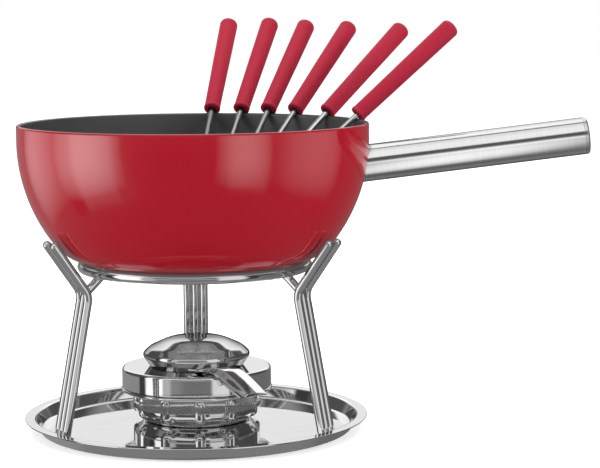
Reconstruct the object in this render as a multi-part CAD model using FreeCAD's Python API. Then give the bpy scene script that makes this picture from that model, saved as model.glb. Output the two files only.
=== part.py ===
import FreeCAD, Part
import math, os

# Fondue pot set: an enamelled pot with a tubular handle stands on a three-legged
# wire stand. The stand stands in a round tray around a paste burner with a domed
# snuffer lid. Six forks lean on the pot's rim.
# Millimetres. Origin: centre of the tray's underside, on the table. +Z up.
# +X runs along the pot handle, -Y is the front.
# Profiles are lists of (radius, height, corner radius) points.

os.makedirs("parts", exist_ok=True)
V = FreeCAD.Vector
ORIGIN = V(0, 0, 0)
UP = V(0, 0, 1)

# ---------------------------------------------------------------- driving sizes
# clearances
GAP = 0.02              # between pieces that touch
FIT = 0.05              # around pieces set into one another
END_GAP = 0.1           # at the blind end of a bore
# tray
TRAY_R = 118.0          # outer radius of the flat rim
TRAY_RIM_IN = 111.0     # inner edge of the flat rim
TRAY_FLOOR_R = 106.8    # where the wall meets the floor
TRAY_H = 9.8            # top of the rim above the table
TRAY_T = 1.0            # sheet, so also the height of the floor's top
# pot
POT_R = 120.0           # outer radius at the mouth
POT_TOP = 210.7         # mouth above the table
POT_BASE = 115.8        # underside above the table
POT_ARC_Z = 199.6       # below this height the wall curves inwards
POT_ARC_R = 114.0
POT_CORNER_R = 35.4     # lower corner, outside
POT_CORNER_IN = 31.0    # lower corner, inside
POT_WALL = 3.0
POT_RIM_R = POT_WALL / 2  # half-round lip
POT_FLOOR = 120.3       # cooking surface at the bottom
DISC_R = 62.0           # bonded base disc
DISC_T = 1.5
COPE_GAP = 0.04         # between the pot wall and the handle parts
# pot handle
HANDLE_D = 25.4
HANDLE_WALL = 1.2
HANDLE_TILT = 6.8       # degrees above the horizontal
HANDLE_X = 118.0        # where the axis meets the wall
HANDLE_Z = 182.4
HANDLE_END_X = 269.4    # far end, measured on the axis
# stand
ROD_D = 5.95            # leg rod
ROD_GAP = 0.04          # between neighbouring rods of a leg
RING_R = 77.0
RING_ROD_D = 7.0
FOOT_R = 102.05         # leg axis at the tray floor
KNEE_R = 82.8           # leg axis at the knee
KNEE_Z = 99.2
KNEE_BEND = 13.0        # bend radius of the outer rods
STRUT_BEND = 9.0        # bend radius of the middle rod
STRUT_END_R = 69.5      # inner end of the middle rod
PRONG_R = 106.8         # centre of the rounded upper end of an outer rod
PRONG_Z = 133.0
# azimuth of each leg from +X: roughly 120 degrees apart
LEG_AZ = {"left": 210.4, "right": -28.2, "back": 92.8}
# burner
BURNER = V(-1.0, 26.0, 0)  # its axis
SHEET = 0.8             # burner sheet
HALF = SHEET / 2
BOWL_R = 43.9           # outer radius of the lower bowl
FLANGE_Z = 22.4         # mid-sheet height of the bowl's flange
SEAM_Z = 24.9           # underside of the upper part
HOUSE_R = 52.4
HOUSE_TOP = 38.8
THROAT_R = 30.6         # opening in the top of the housing
WICK_R = 40.6           # wick pad and gauze
LID_RIM = (32.2, 39.09)  # lower end of the lid's sheet, standing on the housing
LID_SIDE = (37.9, 47.3)  # corner of the widest part before it is rounded
DOME_TOP = 60.2
# forks
SHAFT_R = 2.0
FORK_HANG = 2.1         # from the rim contact to the lower end of the handle
FORK_TIP_Z = 123.0
FORK_HANDLE_L = 94.5
FORK_HANDLE_R0 = 5.75   # radius at the lower end
FORK_HANDLE_R1 = 6.65   # radius near the top
CROWN_R = 11.0          # crown of the handle's far end
CROWN_EDGE_R = 3.4      # round edge of the crown
FORK_TANG = 62.0        # shaft length inside the handle
TINE_R = 1.0
TINE_SPREAD = 3.1       # half the distance between the tines
TINE_L = 30.0
# per fork: rim azimuth from +Y towards +X, x and y of the tip
FORK_LEAN = [
    (3.75, -8.32, 18.52),
    (14.47, -0.92, 19.21),
    (24.84, 6.73, 11.92),
    (35.9, 6.9, 7.81),
    (51.41, 5.52, 3.63),
    (73.16, 12.69, 5.38),
]


# ---------------------------------------------------------------- helpers
def export(shape, name):
    assert shape.isValid(), name
    shape.exportStep("parts/%s.step" % name)


def one(shape):
    """The single solid of a boolean result, with its split faces merged."""
    solids = shape.removeSplitter().Solids
    assert len(solids) == 1, "expected one solid, got %d" % len(solids)
    return solids[0]


def outward(solid):
    """Turn an inside-out solid the right way round."""
    if solid.Volume < 0:
        solid.reverse()
    return solid


def rounded(profile):
    """Closed wire in the XZ plane through a profile, with its corners rounded."""
    points = [V(r, 0, z) for r, z, _ in profile]
    count = len(points)
    corners = []                         # (start, middle, end); no middle if sharp
    for i, (_, _, radius) in enumerate(profile):
        corner = points[i]
        if radius <= 0:
            corners.append((corner, None, corner))
            continue
        back = points[i - 1] - corner
        ahead = points[(i + 1) % count] - corner
        shortest = min(back.Length, ahead.Length)
        back.normalize()
        ahead.normalize()
        half = math.acos(back.dot(ahead)) / 2
        # a corner takes at most half of its shorter side
        cut = min(radius / math.tan(half), 0.499 * shortest)
        radius = cut * math.tan(half)
        middle = corner + (back + ahead).normalize() * (radius / math.sin(half) - radius)
        corners.append((corner + back * cut, middle, corner + ahead * cut))
    edges = []
    for i, (start, middle, end) in enumerate(corners):
        if middle is not None:
            edges.append(Part.Arc(start, middle, end).toShape())
        following = corners[(i + 1) % count][0]
        if end.distanceToPoint(following) > 1e-6:
            edges.append(Part.makeLine(end, following))
    return Part.Wire(edges)


def lathe(wire, place=ORIGIN):
    """Revolve a closed XZ wire about Z, then move its axis to a place."""
    solid = outward(Part.Face(wire).revolve(ORIGIN, UP, 360))
    solid.translate(place)
    return solid


def sheet(path, thickness):
    """Closed wire of a sheet centred on an open profile."""
    normals = []
    for (r0, z0, _), (r1, z1, _) in zip(path, path[1:]):
        length = math.hypot(r1 - r0, z1 - z0)
        normals.append(((z0 - z1) / length, (r1 - r0) / length))
    half = thickness / 2
    left, right = [], []
    for i, (r, z, bend) in enumerate(path):
        before = normals[max(i - 1, 0)]
        after = normals[min(i, len(normals) - 1)]
        mitre_r, mitre_z = before[0] + after[0], before[1] + after[1]
        length = math.hypot(mitre_r, mitre_z)
        mitre_r, mitre_z = mitre_r / length, mitre_z / length
        offset = half / (mitre_r * before[0] + mitre_z * before[1])
        turn = before[0] * after[1] - before[1] * after[0]
        inner = half if turn > 0 else -half
        for side, sign in ((left, 1), (right, -1)):
            corner = max(bend - sign * inner, 0.05) if bend > 0 else 0
            # no point may cross the axis
            side.append((max(r + sign * mitre_r * offset, 0.0),
                         z + sign * mitre_z * offset, corner))
    return rounded(left + right[::-1])


def burner_sheet(path):
    return lathe(sheet(path, SHEET), BURNER)


def ring_wall(outer_r, inner_r, height, z, overrun=0.0):
    """Upright ring about Z; the cutter may overrun it at both ends."""
    bore = Part.makeCylinder(inner_r, height + 2 * overrun, V(0, 0, z - overrun))
    return Part.makeCylinder(outer_r, height, V(0, 0, z)).cut(bore)


# ---------------------------------------------------------------- tray
def make_tray():
    middle = TRAY_T / 2
    tray = lathe(sheet([
        (0, middle, 0),
        (TRAY_FLOOR_R, middle, 2.6),
        (TRAY_RIM_IN, TRAY_H - middle, 1.6),
        (TRAY_R, TRAY_H - middle, 0),
    ], TRAY_T))
    rim_edges = [e for e in tray.Edges
                 if abs(e.BoundBox.XMax - TRAY_R) < 1e-3
                 and e.BoundBox.ZMin > 5 and len(e.Vertexes) == 1]
    # a fillet without edges would fail
    return one(tray.makeFillet(0.35, rim_edges)) if rim_edges else tray


export(make_tray(), "tray")


# ---------------------------------------------------------------- pot outline
def corner_centre_r(mouth_r, arc_r, corner_r, base):
    """Distance from the axis to the centre of the pot's lower corner."""
    drop = base + corner_r - POT_ARC_Z
    return mouth_r - arc_r + math.sqrt((arc_r - corner_r) ** 2 - drop ** 2)


def pot_outline(mouth_r, top, arc_r, corner_r, base):
    """Edges from the mouth down to the centre of the base: wall, arc, corner, flat."""
    arc_x = mouth_r - arc_r
    corner_x = corner_centre_r(mouth_r, arc_r, corner_r, base)
    corner_z = base + corner_r
    join = math.atan2(corner_z - POT_ARC_Z, corner_x - arc_x)

    def arc(x, z, radius, start, end):
        points = [V(x + radius * math.cos(a), 0, z + radius * math.sin(a))
                  for a in (start, (start + end) / 2, end)]
        return Part.Arc(*points).toShape()

    return [
        Part.makeLine(V(mouth_r, 0, top), V(mouth_r, 0, POT_ARC_Z)),
        arc(arc_x, POT_ARC_Z, arc_r, 0.0, join),
        arc(corner_x, corner_z, corner_r, join, -math.pi / 2),
        Part.makeLine(V(corner_x, 0, base), V(0, 0, base)),
    ]


def lathe_edges(edges):
    return lathe(Part.Wire(Part.sortEdges(edges)[0]))


# ---------------------------------------------------------------- stand
# the ring touches the curved lower corner of the pot from below
corner_reach = POT_CORNER_R + RING_ROD_D / 2
corner_offset = RING_R - corner_centre_r(POT_R, POT_ARC_R, POT_CORNER_R, POT_BASE)
RING_Z = POT_BASE + POT_CORNER_R - math.sqrt(corner_reach ** 2 - corner_offset ** 2) - GAP

# slope of the middle rod above the knee, where it just clears the ring
knee_in, knee_up = KNEE_R - RING_R, RING_Z - KNEE_Z
ring_clearance = (RING_ROD_D + ROD_D) / 2 + GAP
STRUT_SLOPE = (math.acos(ring_clearance / math.hypot(knee_in, knee_up))
               - math.atan2(knee_in, knee_up))


def leg_rod(across, upper_end, bend):
    """Rod from below the tray floor to the knee, bent there towards its upper end."""
    knee = V(KNEE_R, across, KNEE_Z)
    foot = V(FOOT_R, across, TRAY_T)
    foot = foot + (foot - knee).normalize() * 4.0    # trimmed flush afterwards
    down = (foot - knee).normalize()
    up = (upper_end - knee).normalize()
    half = math.acos(down.dot(up)) / 2
    cut = bend / math.tan(half)
    start, end = knee + down * cut, knee + up * cut
    middle = knee + (down + up).normalize() * (bend / math.sin(half) - bend)
    path = Part.Wire([
        Part.makeLine(foot, start),
        Part.Arc(start, middle, end).toShape(),
        Part.makeLine(end, upper_end),
    ])
    section = Part.Wire([Part.makeCircle(ROD_D / 2, foot, down * -1.0)])
    return outward(path.makePipeShell([section], True, False).Solids[0])


def below_floor():
    """Block that trims the feet flush with the tray floor."""
    return Part.makeBox(400, 400, 20, V(-200, -200, TRAY_T + GAP - 20))


def make_prong(across):
    """Outer rod of a leg: bent out at the knee, with a rounded end."""
    top = V(PRONG_R, across, PRONG_Z)
    rod = leg_rod(across, top, KNEE_BEND)
    return one(rod.fuse(Part.makeSphere(ROD_D / 2, top)).cut(below_floor()))


def make_strut():
    """Middle rod of a leg: bends in under the ring and carries it."""
    run = KNEE_R - STRUT_END_R
    end = V(STRUT_END_R, 0, KNEE_Z + run * math.tan(STRUT_SLOPE))
    return one(leg_rod(0, end, STRUT_BEND).cut(below_floor()))


def make_stand():
    ring = Part.makeTorus(RING_R, RING_ROD_D / 2)
    ring.translate(V(0, 0, RING_Z))
    export(ring, "support_ring")
    pitch = ROD_D + ROD_GAP
    rods = {"rod_1": make_prong(-pitch), "rod_2": make_prong(pitch), "strut": make_strut()}
    for side, azimuth in LEG_AZ.items():
        for name, rod in rods.items():
            placed = rod.copy()
            placed.rotate(ORIGIN, UP, azimuth)
            export(placed, "leg_%s_%s" % (side, name))


make_stand()


# ---------------------------------------------------------------- pot
def make_pot():
    lip_z = POT_TOP - POT_RIM_R
    inner_r = POT_R - POT_WALL
    lip = Part.Arc(V(POT_R, 0, lip_z), V(POT_R - POT_RIM_R, 0, POT_TOP),
                   V(inner_r, 0, lip_z)).toShape()
    outside = pot_outline(POT_R, lip_z, POT_ARC_R, POT_CORNER_R, POT_BASE)
    inside = pot_outline(inner_r, lip_z, POT_ARC_R - POT_WALL, POT_CORNER_IN, POT_FLOOR)
    axis = Part.makeLine(V(0, 0, POT_BASE), V(0, 0, POT_FLOOR))
    pot = lathe_edges([lip] + outside + inside + [axis])
    recess = Part.makeCylinder(DISC_R + FIT, DISC_T, V(0, 0, POT_BASE))
    return one(pot.cut(recess))


def make_disc():
    """Base disc with three pressed rings in its underside."""
    disc = Part.makeCylinder(DISC_R, DISC_T - FIT, V(0, 0, POT_BASE))
    for groove_r in (18.0, 32.0, 46.0):
        disc = disc.cut(ring_wall(groove_r + 0.8, groove_r, 0.4, POT_BASE))
    return one(disc)


def make_pot_envelope():
    """Solid outline of the pot, a little oversize, that copes the handle parts."""
    mouth_r, base = POT_R + COPE_GAP, POT_BASE - COPE_GAP
    outline = pot_outline(mouth_r, POT_TOP, POT_ARC_R + COPE_GAP,
                          POT_CORNER_R + COPE_GAP, base)
    top = V(0, 0, POT_TOP)
    return lathe_edges(outline + [
        Part.makeLine(V(0, 0, base), top),
        Part.makeLine(top, V(mouth_r, 0, POT_TOP)),
    ])


export(make_pot(), "pot_body")
export(make_disc(), "pot_base_disc")

# ---------------------------------------------------------------- pot handle
# Lengths run along the handle axis from a start inside the pot wall.
INSET = 14.0            # from the start to the wall
CAP_T = 3.2             # part of the end cap outside the tube
CAP_PLUG = 9.0          # part of the end cap inside the tube
BOSS_END = 40.0
BOSS_BORE = 26.0        # blind end of the boss's bore
BORE_R = 3.0

tilt = math.radians(HANDLE_TILT)
HANDLE_DIR = V(math.cos(tilt), 0, math.sin(tilt))
HANDLE_START = V(HANDLE_X, 0, HANDLE_Z) - HANDLE_DIR * INSET
HANDLE_L = (HANDLE_END_X - HANDLE_X) / math.cos(tilt) + INSET
TUBE_END = HANDLE_L - CAP_T
TUBE_R = HANDLE_D / 2
TUBE_IN = TUBE_R - HANDLE_WALL
PLUG_R = TUBE_IN - FIT


def turned(profile):
    """Lathe a profile and lay its axis along the handle."""
    solid = lathe(rounded(profile))
    solid.Placement = FreeCAD.Placement(HANDLE_START, FreeCAD.Rotation(UP, HANDLE_DIR))
    return solid


def bore(start, end):
    return turned([(0, start, 0), (BORE_R, start, 0), (BORE_R, end, 0), (0, end, 0)])


def make_handle_tube(envelope):
    tube = turned([(TUBE_IN, 0, 0), (TUBE_R, 0, 0), (TUBE_R, TUBE_END, 0),
                   (TUBE_IN, TUBE_END, 0)])
    return one(tube.cut(envelope))


def make_handle_cap():
    plug_start = TUBE_END - CAP_PLUG
    cap = turned([
        (0, plug_start, 0),
        (PLUG_R, plug_start, 0.6),
        (PLUG_R, TUBE_END + GAP, 0),
        (TUBE_R, TUBE_END + GAP, 0),
        (TUBE_R, HANDLE_L, 2.6),
        (0, HANDLE_L, 0),
    ])
    return one(cap.cut(bore(plug_start - 0.5, TUBE_END)))


def make_handle_boss(envelope):
    """Plug in the tube's root, coped to the pot wall."""
    boss = turned([(0, 0, 0), (PLUG_R, 0, 0), (PLUG_R, BOSS_END, 1.0), (0, BOSS_END, 0)])
    return one(boss.cut(envelope).cut(bore(BOSS_BORE, BOSS_END + 1.0)))


def make_tie_rod():
    """Rod along the axis, from the boss to the end cap."""
    start, end = BOSS_BORE + FIT, TUBE_END - END_GAP
    radius = BORE_R - FIT
    return turned([(0, start, 0), (radius, start, 0.5), (radius, end, 0.5), (0, end, 0)])


pot_envelope = make_pot_envelope()
export(make_handle_tube(pot_envelope), "handle_tube")
export(make_handle_cap(), "handle_end_cap")
export(make_handle_boss(pot_envelope), "handle_boss")
export(make_tie_rod(), "handle_tie_rod")

# ---------------------------------------------------------------- burner, lower part
BEAD_R = 53.0           # outer radius of the bead on the bowl's flange
BEAD_WIRE_R = 1.25
BEAD_Z = 23.25
FLUTES = 11
FLUTE_AZ = -84.7        # first flute, from +X
FLUTE_R = 3.1
FLUTE_LOW, FLUTE_HIGH = 8.8, 17.1   # centres of the rounded ends
FLUTE_INSET = 1.9       # flute axis inside the bowl's outer radius
PAD_TOP = 15.2
GAUZE_Z = 15.3


def make_bowl():
    wall_r = BOWL_R - HALF
    wall = [(0, TRAY_T + HALF, 0), (37.0, TRAY_T + HALF, 4.5), (wall_r, TRAY_T + 7.6, 6.0)]
    bowl = burner_sheet(wall + [(wall_r, FLANGE_Z, 1.2), (51.4, FLANGE_Z, 0)])
    bead = Part.makeTorus(BEAD_R - BEAD_WIRE_R, BEAD_WIRE_R)
    bead.translate(BURNER + V(0, 0, BEAD_Z))
    bowl = bowl.fuse(bead)
    # everything inside the middle of the sheet, so that a flute only stands out
    # on the outside
    core = lathe(rounded(wall + [(wall_r, FLANGE_Z, 0), (0, FLANGE_Z, 0)]), BURNER)
    axis_r = BOWL_R - FLUTE_INSET
    for i in range(FLUTES):
        angle = math.radians(FLUTE_AZ + i * 360.0 / FLUTES)
        flute = Part.makeCylinder(FLUTE_R, FLUTE_HIGH - FLUTE_LOW, V(0, 0, FLUTE_LOW))
        for z in (FLUTE_LOW, FLUTE_HIGH):
            flute = flute.fuse(Part.makeSphere(FLUTE_R, V(0, 0, z)))
        flute.translate(BURNER + V(axis_r * math.cos(angle), axis_r * math.sin(angle), 0))
        bowl = bowl.fuse(flute.cut(core))
    return one(bowl)


def make_fuel_cup():
    return burner_sheet([(0, 2.6, 0), (34.8, 2.6, 3.5), (41.2, 9.7, 4.0), (41.2, 19.4, 0)])


def make_wick_pad():
    return lathe(rounded([
        (0, 3.1, 0),
        (34.2, 3.1, 2.0),
        (WICK_R, 10.2, 2.5),
        (WICK_R, PAD_TOP, 1.0),
        (0, PAD_TOP, 0),
    ]), BURNER)


def make_gauze():
    """Disc with an upright rim and rings of round holes."""
    gauze = Part.makeCylinder(WICK_R, 0.6, BURNER + V(0, 0, GAUZE_Z))
    rim = ring_wall(WICK_R, WICK_R - SHEET, 3.0, GAUZE_Z, overrun=0.2)
    rim.translate(BURNER)
    gauze = gauze.fuse(rim)
    holes = []
    for ring in range(7):
        ring_r = 6 * ring
        count = max(1, 6 * ring)
        for i in range(count):
            angle = 2 * math.pi * i / count
            place = V(ring_r * math.cos(angle), ring_r * math.sin(angle), GAUZE_Z - 0.3)
            holes.append(Part.makeCylinder(1.5, 1.2, BURNER + place))
    return one(gauze.cut(Part.makeCompound(holes)))


export(make_bowl(), "burner_bowl")
export(make_fuel_cup(), "fuel_cup")
export(make_wick_pad(), "wick_pad")
export(make_gauze(), "wick_gauze")

# ---------------------------------------------------------------- burner, upper part
SKIRT_R = 42.5
SKIRT_EDGE_GAP = 0.45   # between the skirt's edge and the housing
COLLAR_R = 29.8
COLLAR_TOP = 42.2       # mid-sheet
COLLAR_SLOTS = 16
SLOT_W, SLOT_H, SLOT_Z = 5.0, 1.9, 39.2


def make_skirt():
    top = SEAM_Z + HALF
    return burner_sheet([(SKIRT_R, 17.0, 0), (SKIRT_R, top, 1.2),
                         (HOUSE_R - SHEET - SKIRT_EDGE_GAP, top, 0)])


def make_housing():
    wall_r, top = HOUSE_R - HALF, HOUSE_TOP - HALF
    return burner_sheet([(wall_r, SEAM_Z + GAP, 0), (wall_r, top, 2.0), (THROAT_R, top, 0)])


def make_collar():
    """Slotted collar in the throat, its flange under the top of the housing."""
    flange_z = HOUSE_TOP - SHEET - HALF - GAP
    collar = burner_sheet([(33.6, flange_z, 0), (COLLAR_R, flange_z, 0.8),
                           (COLLAR_R, COLLAR_TOP, 0.8), (27.4, COLLAR_TOP, 0)])
    slots = []
    for i in range(COLLAR_SLOTS):
        slot = Part.makeBox(5.0, SLOT_W, SLOT_H, V(27.6, -SLOT_W / 2, SLOT_Z))
        slot.rotate(ORIGIN, UP, 360.0 * i / COLLAR_SLOTS)
        slot.translate(BURNER)
        slots.append(slot)
    return one(collar.cut(Part.makeCompound(slots)))


export(make_skirt(), "housing_skirt")
export(make_housing(), "burner_housing")
export(make_collar(), "flame_collar")

# ---------------------------------------------------------------- snuffer lid
LEVER_AZ = -57.2        # from +X
LEVER_T = 0.9
# distance from the burner axis along the lever, then (across, height) of the top
# from the left edge to the right edge, seen from the lever's tip
LEVER_STATIONS = [
    (24.0, [(-22.4, 41.6), (-19.0, 41.3), (-13.0, 41.4), (-5.6, 41.6), (3.6, 41.6)]),
    (34.5, [(-18.9, 41.8), (-16.6, 41.3), (-12.0, 41.9), (-6.0, 42.7), (4.2, 42.2)]),
    (43.5, [(-16.3, 41.8), (-14.2, 41.3), (-10.6, 42.5), (-6.0, 44.1), (4.9, 42.9)]),
    (51.0, [(-15.7, 41.2), (-13.4, 40.7), (-9.8, 42.2), (-4.4, 43.9), (6.4, 41.9)]),
    (59.0, [(-14.8, 37.3), (-12.0, 37.0), (-7.2, 38.8), (-1.9, 40.6), (7.9, 38.4)]),
    (67.5, [(-12.7, 32.7), (-9.4, 32.6), (-4.3, 34.2), (0.6, 35.8), (9.3, 33.8)]),
    (76.0, [(-10.4, 28.7), (-7.0, 28.6), (-1.7, 29.5), (2.9, 30.6), (10.6, 29.0)]),
]


def make_lid():
    return burner_sheet([
        (*LID_RIM, 0),
        (*LID_SIDE, 2.5),
        (31.3, 51.9, 22.0),
        (15.8, DOME_TOP - 1.6, 30.0),
        (0, DOME_TOP - HALF, 0),
    ])


def make_lid_cone():
    """The lid's side as a solid cone, a hair oversize and run on below the rim."""
    run, rise = LID_SIDE[0] - LID_RIM[0], LID_SIDE[1] - LID_RIM[1]
    scale = (HALF + GAP) / math.hypot(run, rise)
    out, down = rise * scale, run * scale
    low_r, low_z = LID_RIM[0] - run + out, LID_RIM[1] - rise - down
    high_r, high_z = LID_SIDE[0] + out, LID_SIDE[1] - down
    return lathe(rounded([(0, low_z, 0), (low_r, low_z, 0),
                          (high_r, high_z, 0), (0, high_z, 0)]), BURNER)


def make_lever():
    """Lever lofted through its stations, its root trimmed to the side of the lid."""
    sections = []
    for along, points in LEVER_STATIONS:
        top = [V(along, across, z) for across, z in points]
        bottom = [V(along, across, z - LEVER_T) for across, z in points[::-1]]
        sections.append(Part.makePolygon(top + bottom + top[:1]))
    lever = outward(Part.makeLoft(sections, True, False))
    lever.rotate(ORIGIN, UP, LEVER_AZ)
    lever.translate(BURNER)
    return one(lever.cut(make_lid_cone()))


export(make_lid(), "snuffer_lid")
export(make_lever(), "lid_lever")

# ---------------------------------------------------------------- forks
# Handle and shaft are drawn along Z from the lower end of the handle.
TINE_SLOPE_L = 7.0      # height over which the tines spread
TINE_POINT_L = 3.2
TINE_ROOT_R = TINE_R + 0.15


def fork_axis(azimuth, tip):
    """Point beside the rim and direction of a fork that rests on the rim."""
    angle = math.radians(azimuth)
    rim_r = POT_R - POT_RIM_R
    rim = V(rim_r * math.sin(angle), rim_r * math.cos(angle), POT_TOP - POT_RIM_R)
    tangent = V(math.cos(angle), -math.sin(angle), 0)
    contact = rim + V(0, 0, 4.0)
    # the offset from the rim depends on the direction, so it is found step by step
    for _ in range(12):
        direction = (contact - tip).normalize()
        normal = tangent.cross(direction).normalize()
        contact = rim + normal * (POT_RIM_R + SHAFT_R + 0.06)
    return contact, (contact - tip).normalize()


def make_fork_handle():
    bore_r, bore_end = SHAFT_R + GAP, FORK_TANG + END_GAP
    low_r, high_r, length = FORK_HANDLE_R0, FORK_HANDLE_R1, FORK_HANDLE_L
    # far end: a shallow crown that runs smoothly into a round edge
    crown_turn = math.asin((high_r - CROWN_EDGE_R) / (CROWN_R - CROWN_EDGE_R))
    crown_z = length - CROWN_R
    edge_z = crown_z + (CROWN_R - CROWN_EDGE_R) * math.cos(crown_turn)

    def edge_point(fraction):
        angle = fraction * (math.pi / 2 - crown_turn)
        return V(high_r - CROWN_EDGE_R + CROWN_EDGE_R * math.cos(angle), 0,
                 edge_z + CROWN_EDGE_R * math.sin(angle))

    crown_middle = V(CROWN_R * math.sin(crown_turn / 2), 0,
                     crown_z + CROWN_R * math.cos(crown_turn / 2))
    # points of the outline; three make an arc, two a line
    outline = [
        [V(bore_r, 0, 0), V(low_r - 0.9, 0, 0)],
        # low bead around the lower end
        [V(low_r - 0.9, 0, 0), V(low_r + 0.05, 0, 0.45), V(low_r + 0.3, 0, 1.4)],
        [V(low_r + 0.3, 0, 1.4), V(low_r + 0.2, 0, 2.4), V(low_r, 0, 3.4)],
        [V(low_r, 0, 3.4), V(high_r, 0, edge_z)],
        [V(high_r, 0, edge_z), edge_point(0.5), edge_point(1.0)],
        [edge_point(1.0), crown_middle, V(0, 0, length)],
        [V(0, 0, length), V(0, 0, bore_end)],
        [V(0, 0, bore_end), V(bore_r, 0, bore_end)],
        [V(bore_r, 0, bore_end), V(bore_r, 0, 0)],
    ]
    return lathe(Part.Wire([
        Part.Arc(*points).toShape() if len(points) == 3 else Part.makeLine(*points)
        for points in outline
    ]))


def make_fork_shaft(reach):
    """Shaft with two tines in the XZ plane, their points at -reach."""
    split_z = -reach + TINE_L
    split = V(0, 0, split_z)
    shaft = Part.makeCylinder(SHAFT_R, FORK_TANG - split_z, split)
    shaft = shaft.fuse(Part.makeSphere(SHAFT_R, split))
    down = V(0, 0, -1)
    for x in (-TINE_SPREAD, TINE_SPREAD):
        root = V(x, 0, split_z - TINE_SLOPE_L)
        point = V(x, 0, -reach + TINE_POINT_L)
        slope = root - split
        for piece in (
            Part.makeCone(SHAFT_R * 0.78, TINE_ROOT_R, slope.Length, split, slope),
            Part.makeCone(TINE_ROOT_R, TINE_R, (point - root).Length, root, down),
            Part.makeCone(TINE_R, 0.3, TINE_POINT_L, point, down),
            Part.makeSphere(TINE_ROOT_R, root),
        ):
            shaft = shaft.fuse(piece)
    return one(shaft)


def make_fork(number, azimuth, tip_x, tip_y):
    tip = V(tip_x, tip_y, FORK_TIP_Z)
    contact, axis = fork_axis(azimuth, tip)
    base = contact + axis * FORK_HANG                # lower end of the handle
    handle = make_fork_handle()
    handle.Placement = FreeCAD.Placement(base, FreeCAD.Rotation(UP, axis))
    export(handle, "fork_%d_handle" % number)

    # the tines lie in the vertical plane through the axis
    side = axis.cross(UP).normalize()
    spread = side.cross(axis).normalize()
    shaft = make_fork_shaft((base - tip).Length)
    shaft.Placement = FreeCAD.Placement(FreeCAD.Matrix(
        spread.x, side.x, axis.x, base.x,
        spread.y, side.y, axis.y, base.y,
        spread.z, side.z, axis.z, base.z,
        0, 0, 0, 1))
    export(shaft, "fork_%d_shaft" % number)


for number, lean in enumerate(FORK_LEAN, 1):
    make_fork(number, *lean)
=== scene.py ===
# A pot with a side handle on a three-legged stand, over a burner with a snuffer lid, all on a
# round tray, and six forks that stand in the pot and lean on its rim. Z is up. The tray rests on
# z = 0, centred on the origin. The handle points along +X and the camera looks along +Y, so
# front is -Y and left is -X.
import math

import bpy
import numpy as np
from mathutils import Matrix, Vector


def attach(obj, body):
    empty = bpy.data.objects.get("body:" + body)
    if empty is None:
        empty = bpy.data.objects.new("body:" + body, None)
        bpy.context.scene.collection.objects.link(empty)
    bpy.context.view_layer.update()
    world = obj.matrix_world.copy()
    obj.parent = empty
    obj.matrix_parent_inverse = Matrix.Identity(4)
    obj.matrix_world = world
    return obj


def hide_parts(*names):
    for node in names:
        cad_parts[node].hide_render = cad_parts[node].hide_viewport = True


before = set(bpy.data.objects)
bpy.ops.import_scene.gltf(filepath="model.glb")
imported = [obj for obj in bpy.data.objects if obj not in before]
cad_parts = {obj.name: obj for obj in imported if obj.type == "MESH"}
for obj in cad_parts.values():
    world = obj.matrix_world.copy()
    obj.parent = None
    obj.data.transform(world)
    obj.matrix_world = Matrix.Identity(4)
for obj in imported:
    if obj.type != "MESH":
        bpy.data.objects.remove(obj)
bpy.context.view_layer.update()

# Lengths are millimetres until a piece is made, then metres. Lights and camera are in metres.
MM = 0.001


# ------------------------------------------------------------------ profiles
def unit(vector):
    return vector / np.linalg.norm(vector)


def fillet(points, radii, closed=True, step=7.5):
    """2D polyline with rounded corners, one radius per point, step degrees to a segment."""
    points = [np.array(point, float) for point in points]
    count, out = len(points), []
    for i, corner in enumerate(points):
        radius = radii[i]
        if radius <= 0 or (not closed and i in (0, count - 1)):
            out.append(corner)
            continue
        back, ahead = points[i - 1] - corner, points[(i + 1) % count] - corner
        room = 0.49 * min(np.linalg.norm(back), np.linalg.norm(ahead))
        back, ahead = unit(back), unit(ahead)
        angle = math.acos(max(-1.0, min(1.0, float(back @ ahead))))
        cut = min(radius / math.tan(angle / 2), room)
        radius = cut * math.tan(angle / 2)
        centre = corner + unit(back + ahead) * (radius / math.sin(angle / 2))
        first, last = corner + back * cut - centre, corner + ahead * cut - centre
        start, stop = math.atan2(first[1], first[0]), math.atan2(last[1], last[0])
        turn = (stop - start + math.pi) % (2 * math.pi) - math.pi
        steps = max(3, int(math.ceil(abs(math.degrees(turn)) / step)))
        for j in range(steps + 1):
            a = start + turn * j / steps
            out.append(centre + radius * np.array([math.cos(a), math.sin(a)]))
    return np.array(out)


def sheet(path, radii, thickness, end=0.45, step=7.5):
    """Outline of a sheet along a path of (r, z). radii are for the bends at the inner points,
    end times the thickness rounds the ends. A path from the axis gives an open outline."""
    across = []
    for (r0, z0), (r1, z1) in zip(path, path[1:]):
        dr, dz = r1 - r0, z1 - z0
        across.append(np.array((-dz, dr)) / math.hypot(dr, dz))
    left, right, left_radii, right_radii = [], [], [], []
    for i, point in enumerate(path):
        if i in (0, len(path) - 1):
            normal, stretch = across[0 if i == 0 else -1], 1.0
            left_radii.append(end * thickness)
            right_radii.append(end * thickness)
        else:
            a, b = across[i - 1], across[i]
            normal = a + b
            normal = normal / math.hypot(*normal)
            stretch = 1.0 / (normal[0] * a[0] + normal[1] * a[1])
            side = 1 if a[0] * b[1] - a[1] * b[0] > 0 else -1
            left_radii.append(radii[i - 1] - side * thickness / 2)
            right_radii.append(radii[i - 1] + side * thickness / 2)
        half = thickness / 2 * stretch
        left.append(point + normal * half)
        right.append(point - normal * half)
    return fillet(left + right[::-1], left_radii + right_radii[::-1], path[0][0] > 0, step)


def arc(r, z, radius, start, stop, step):
    """Points on an arc about (r, z), angles in degrees."""
    steps = max(2, int(math.ceil(abs(stop - start) / step)))
    angles = [math.radians(start + (stop - start) * j / steps) for j in range(steps + 1)]
    return [(r + radius * math.cos(a), z + radius * math.sin(a)) for a in angles]


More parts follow.
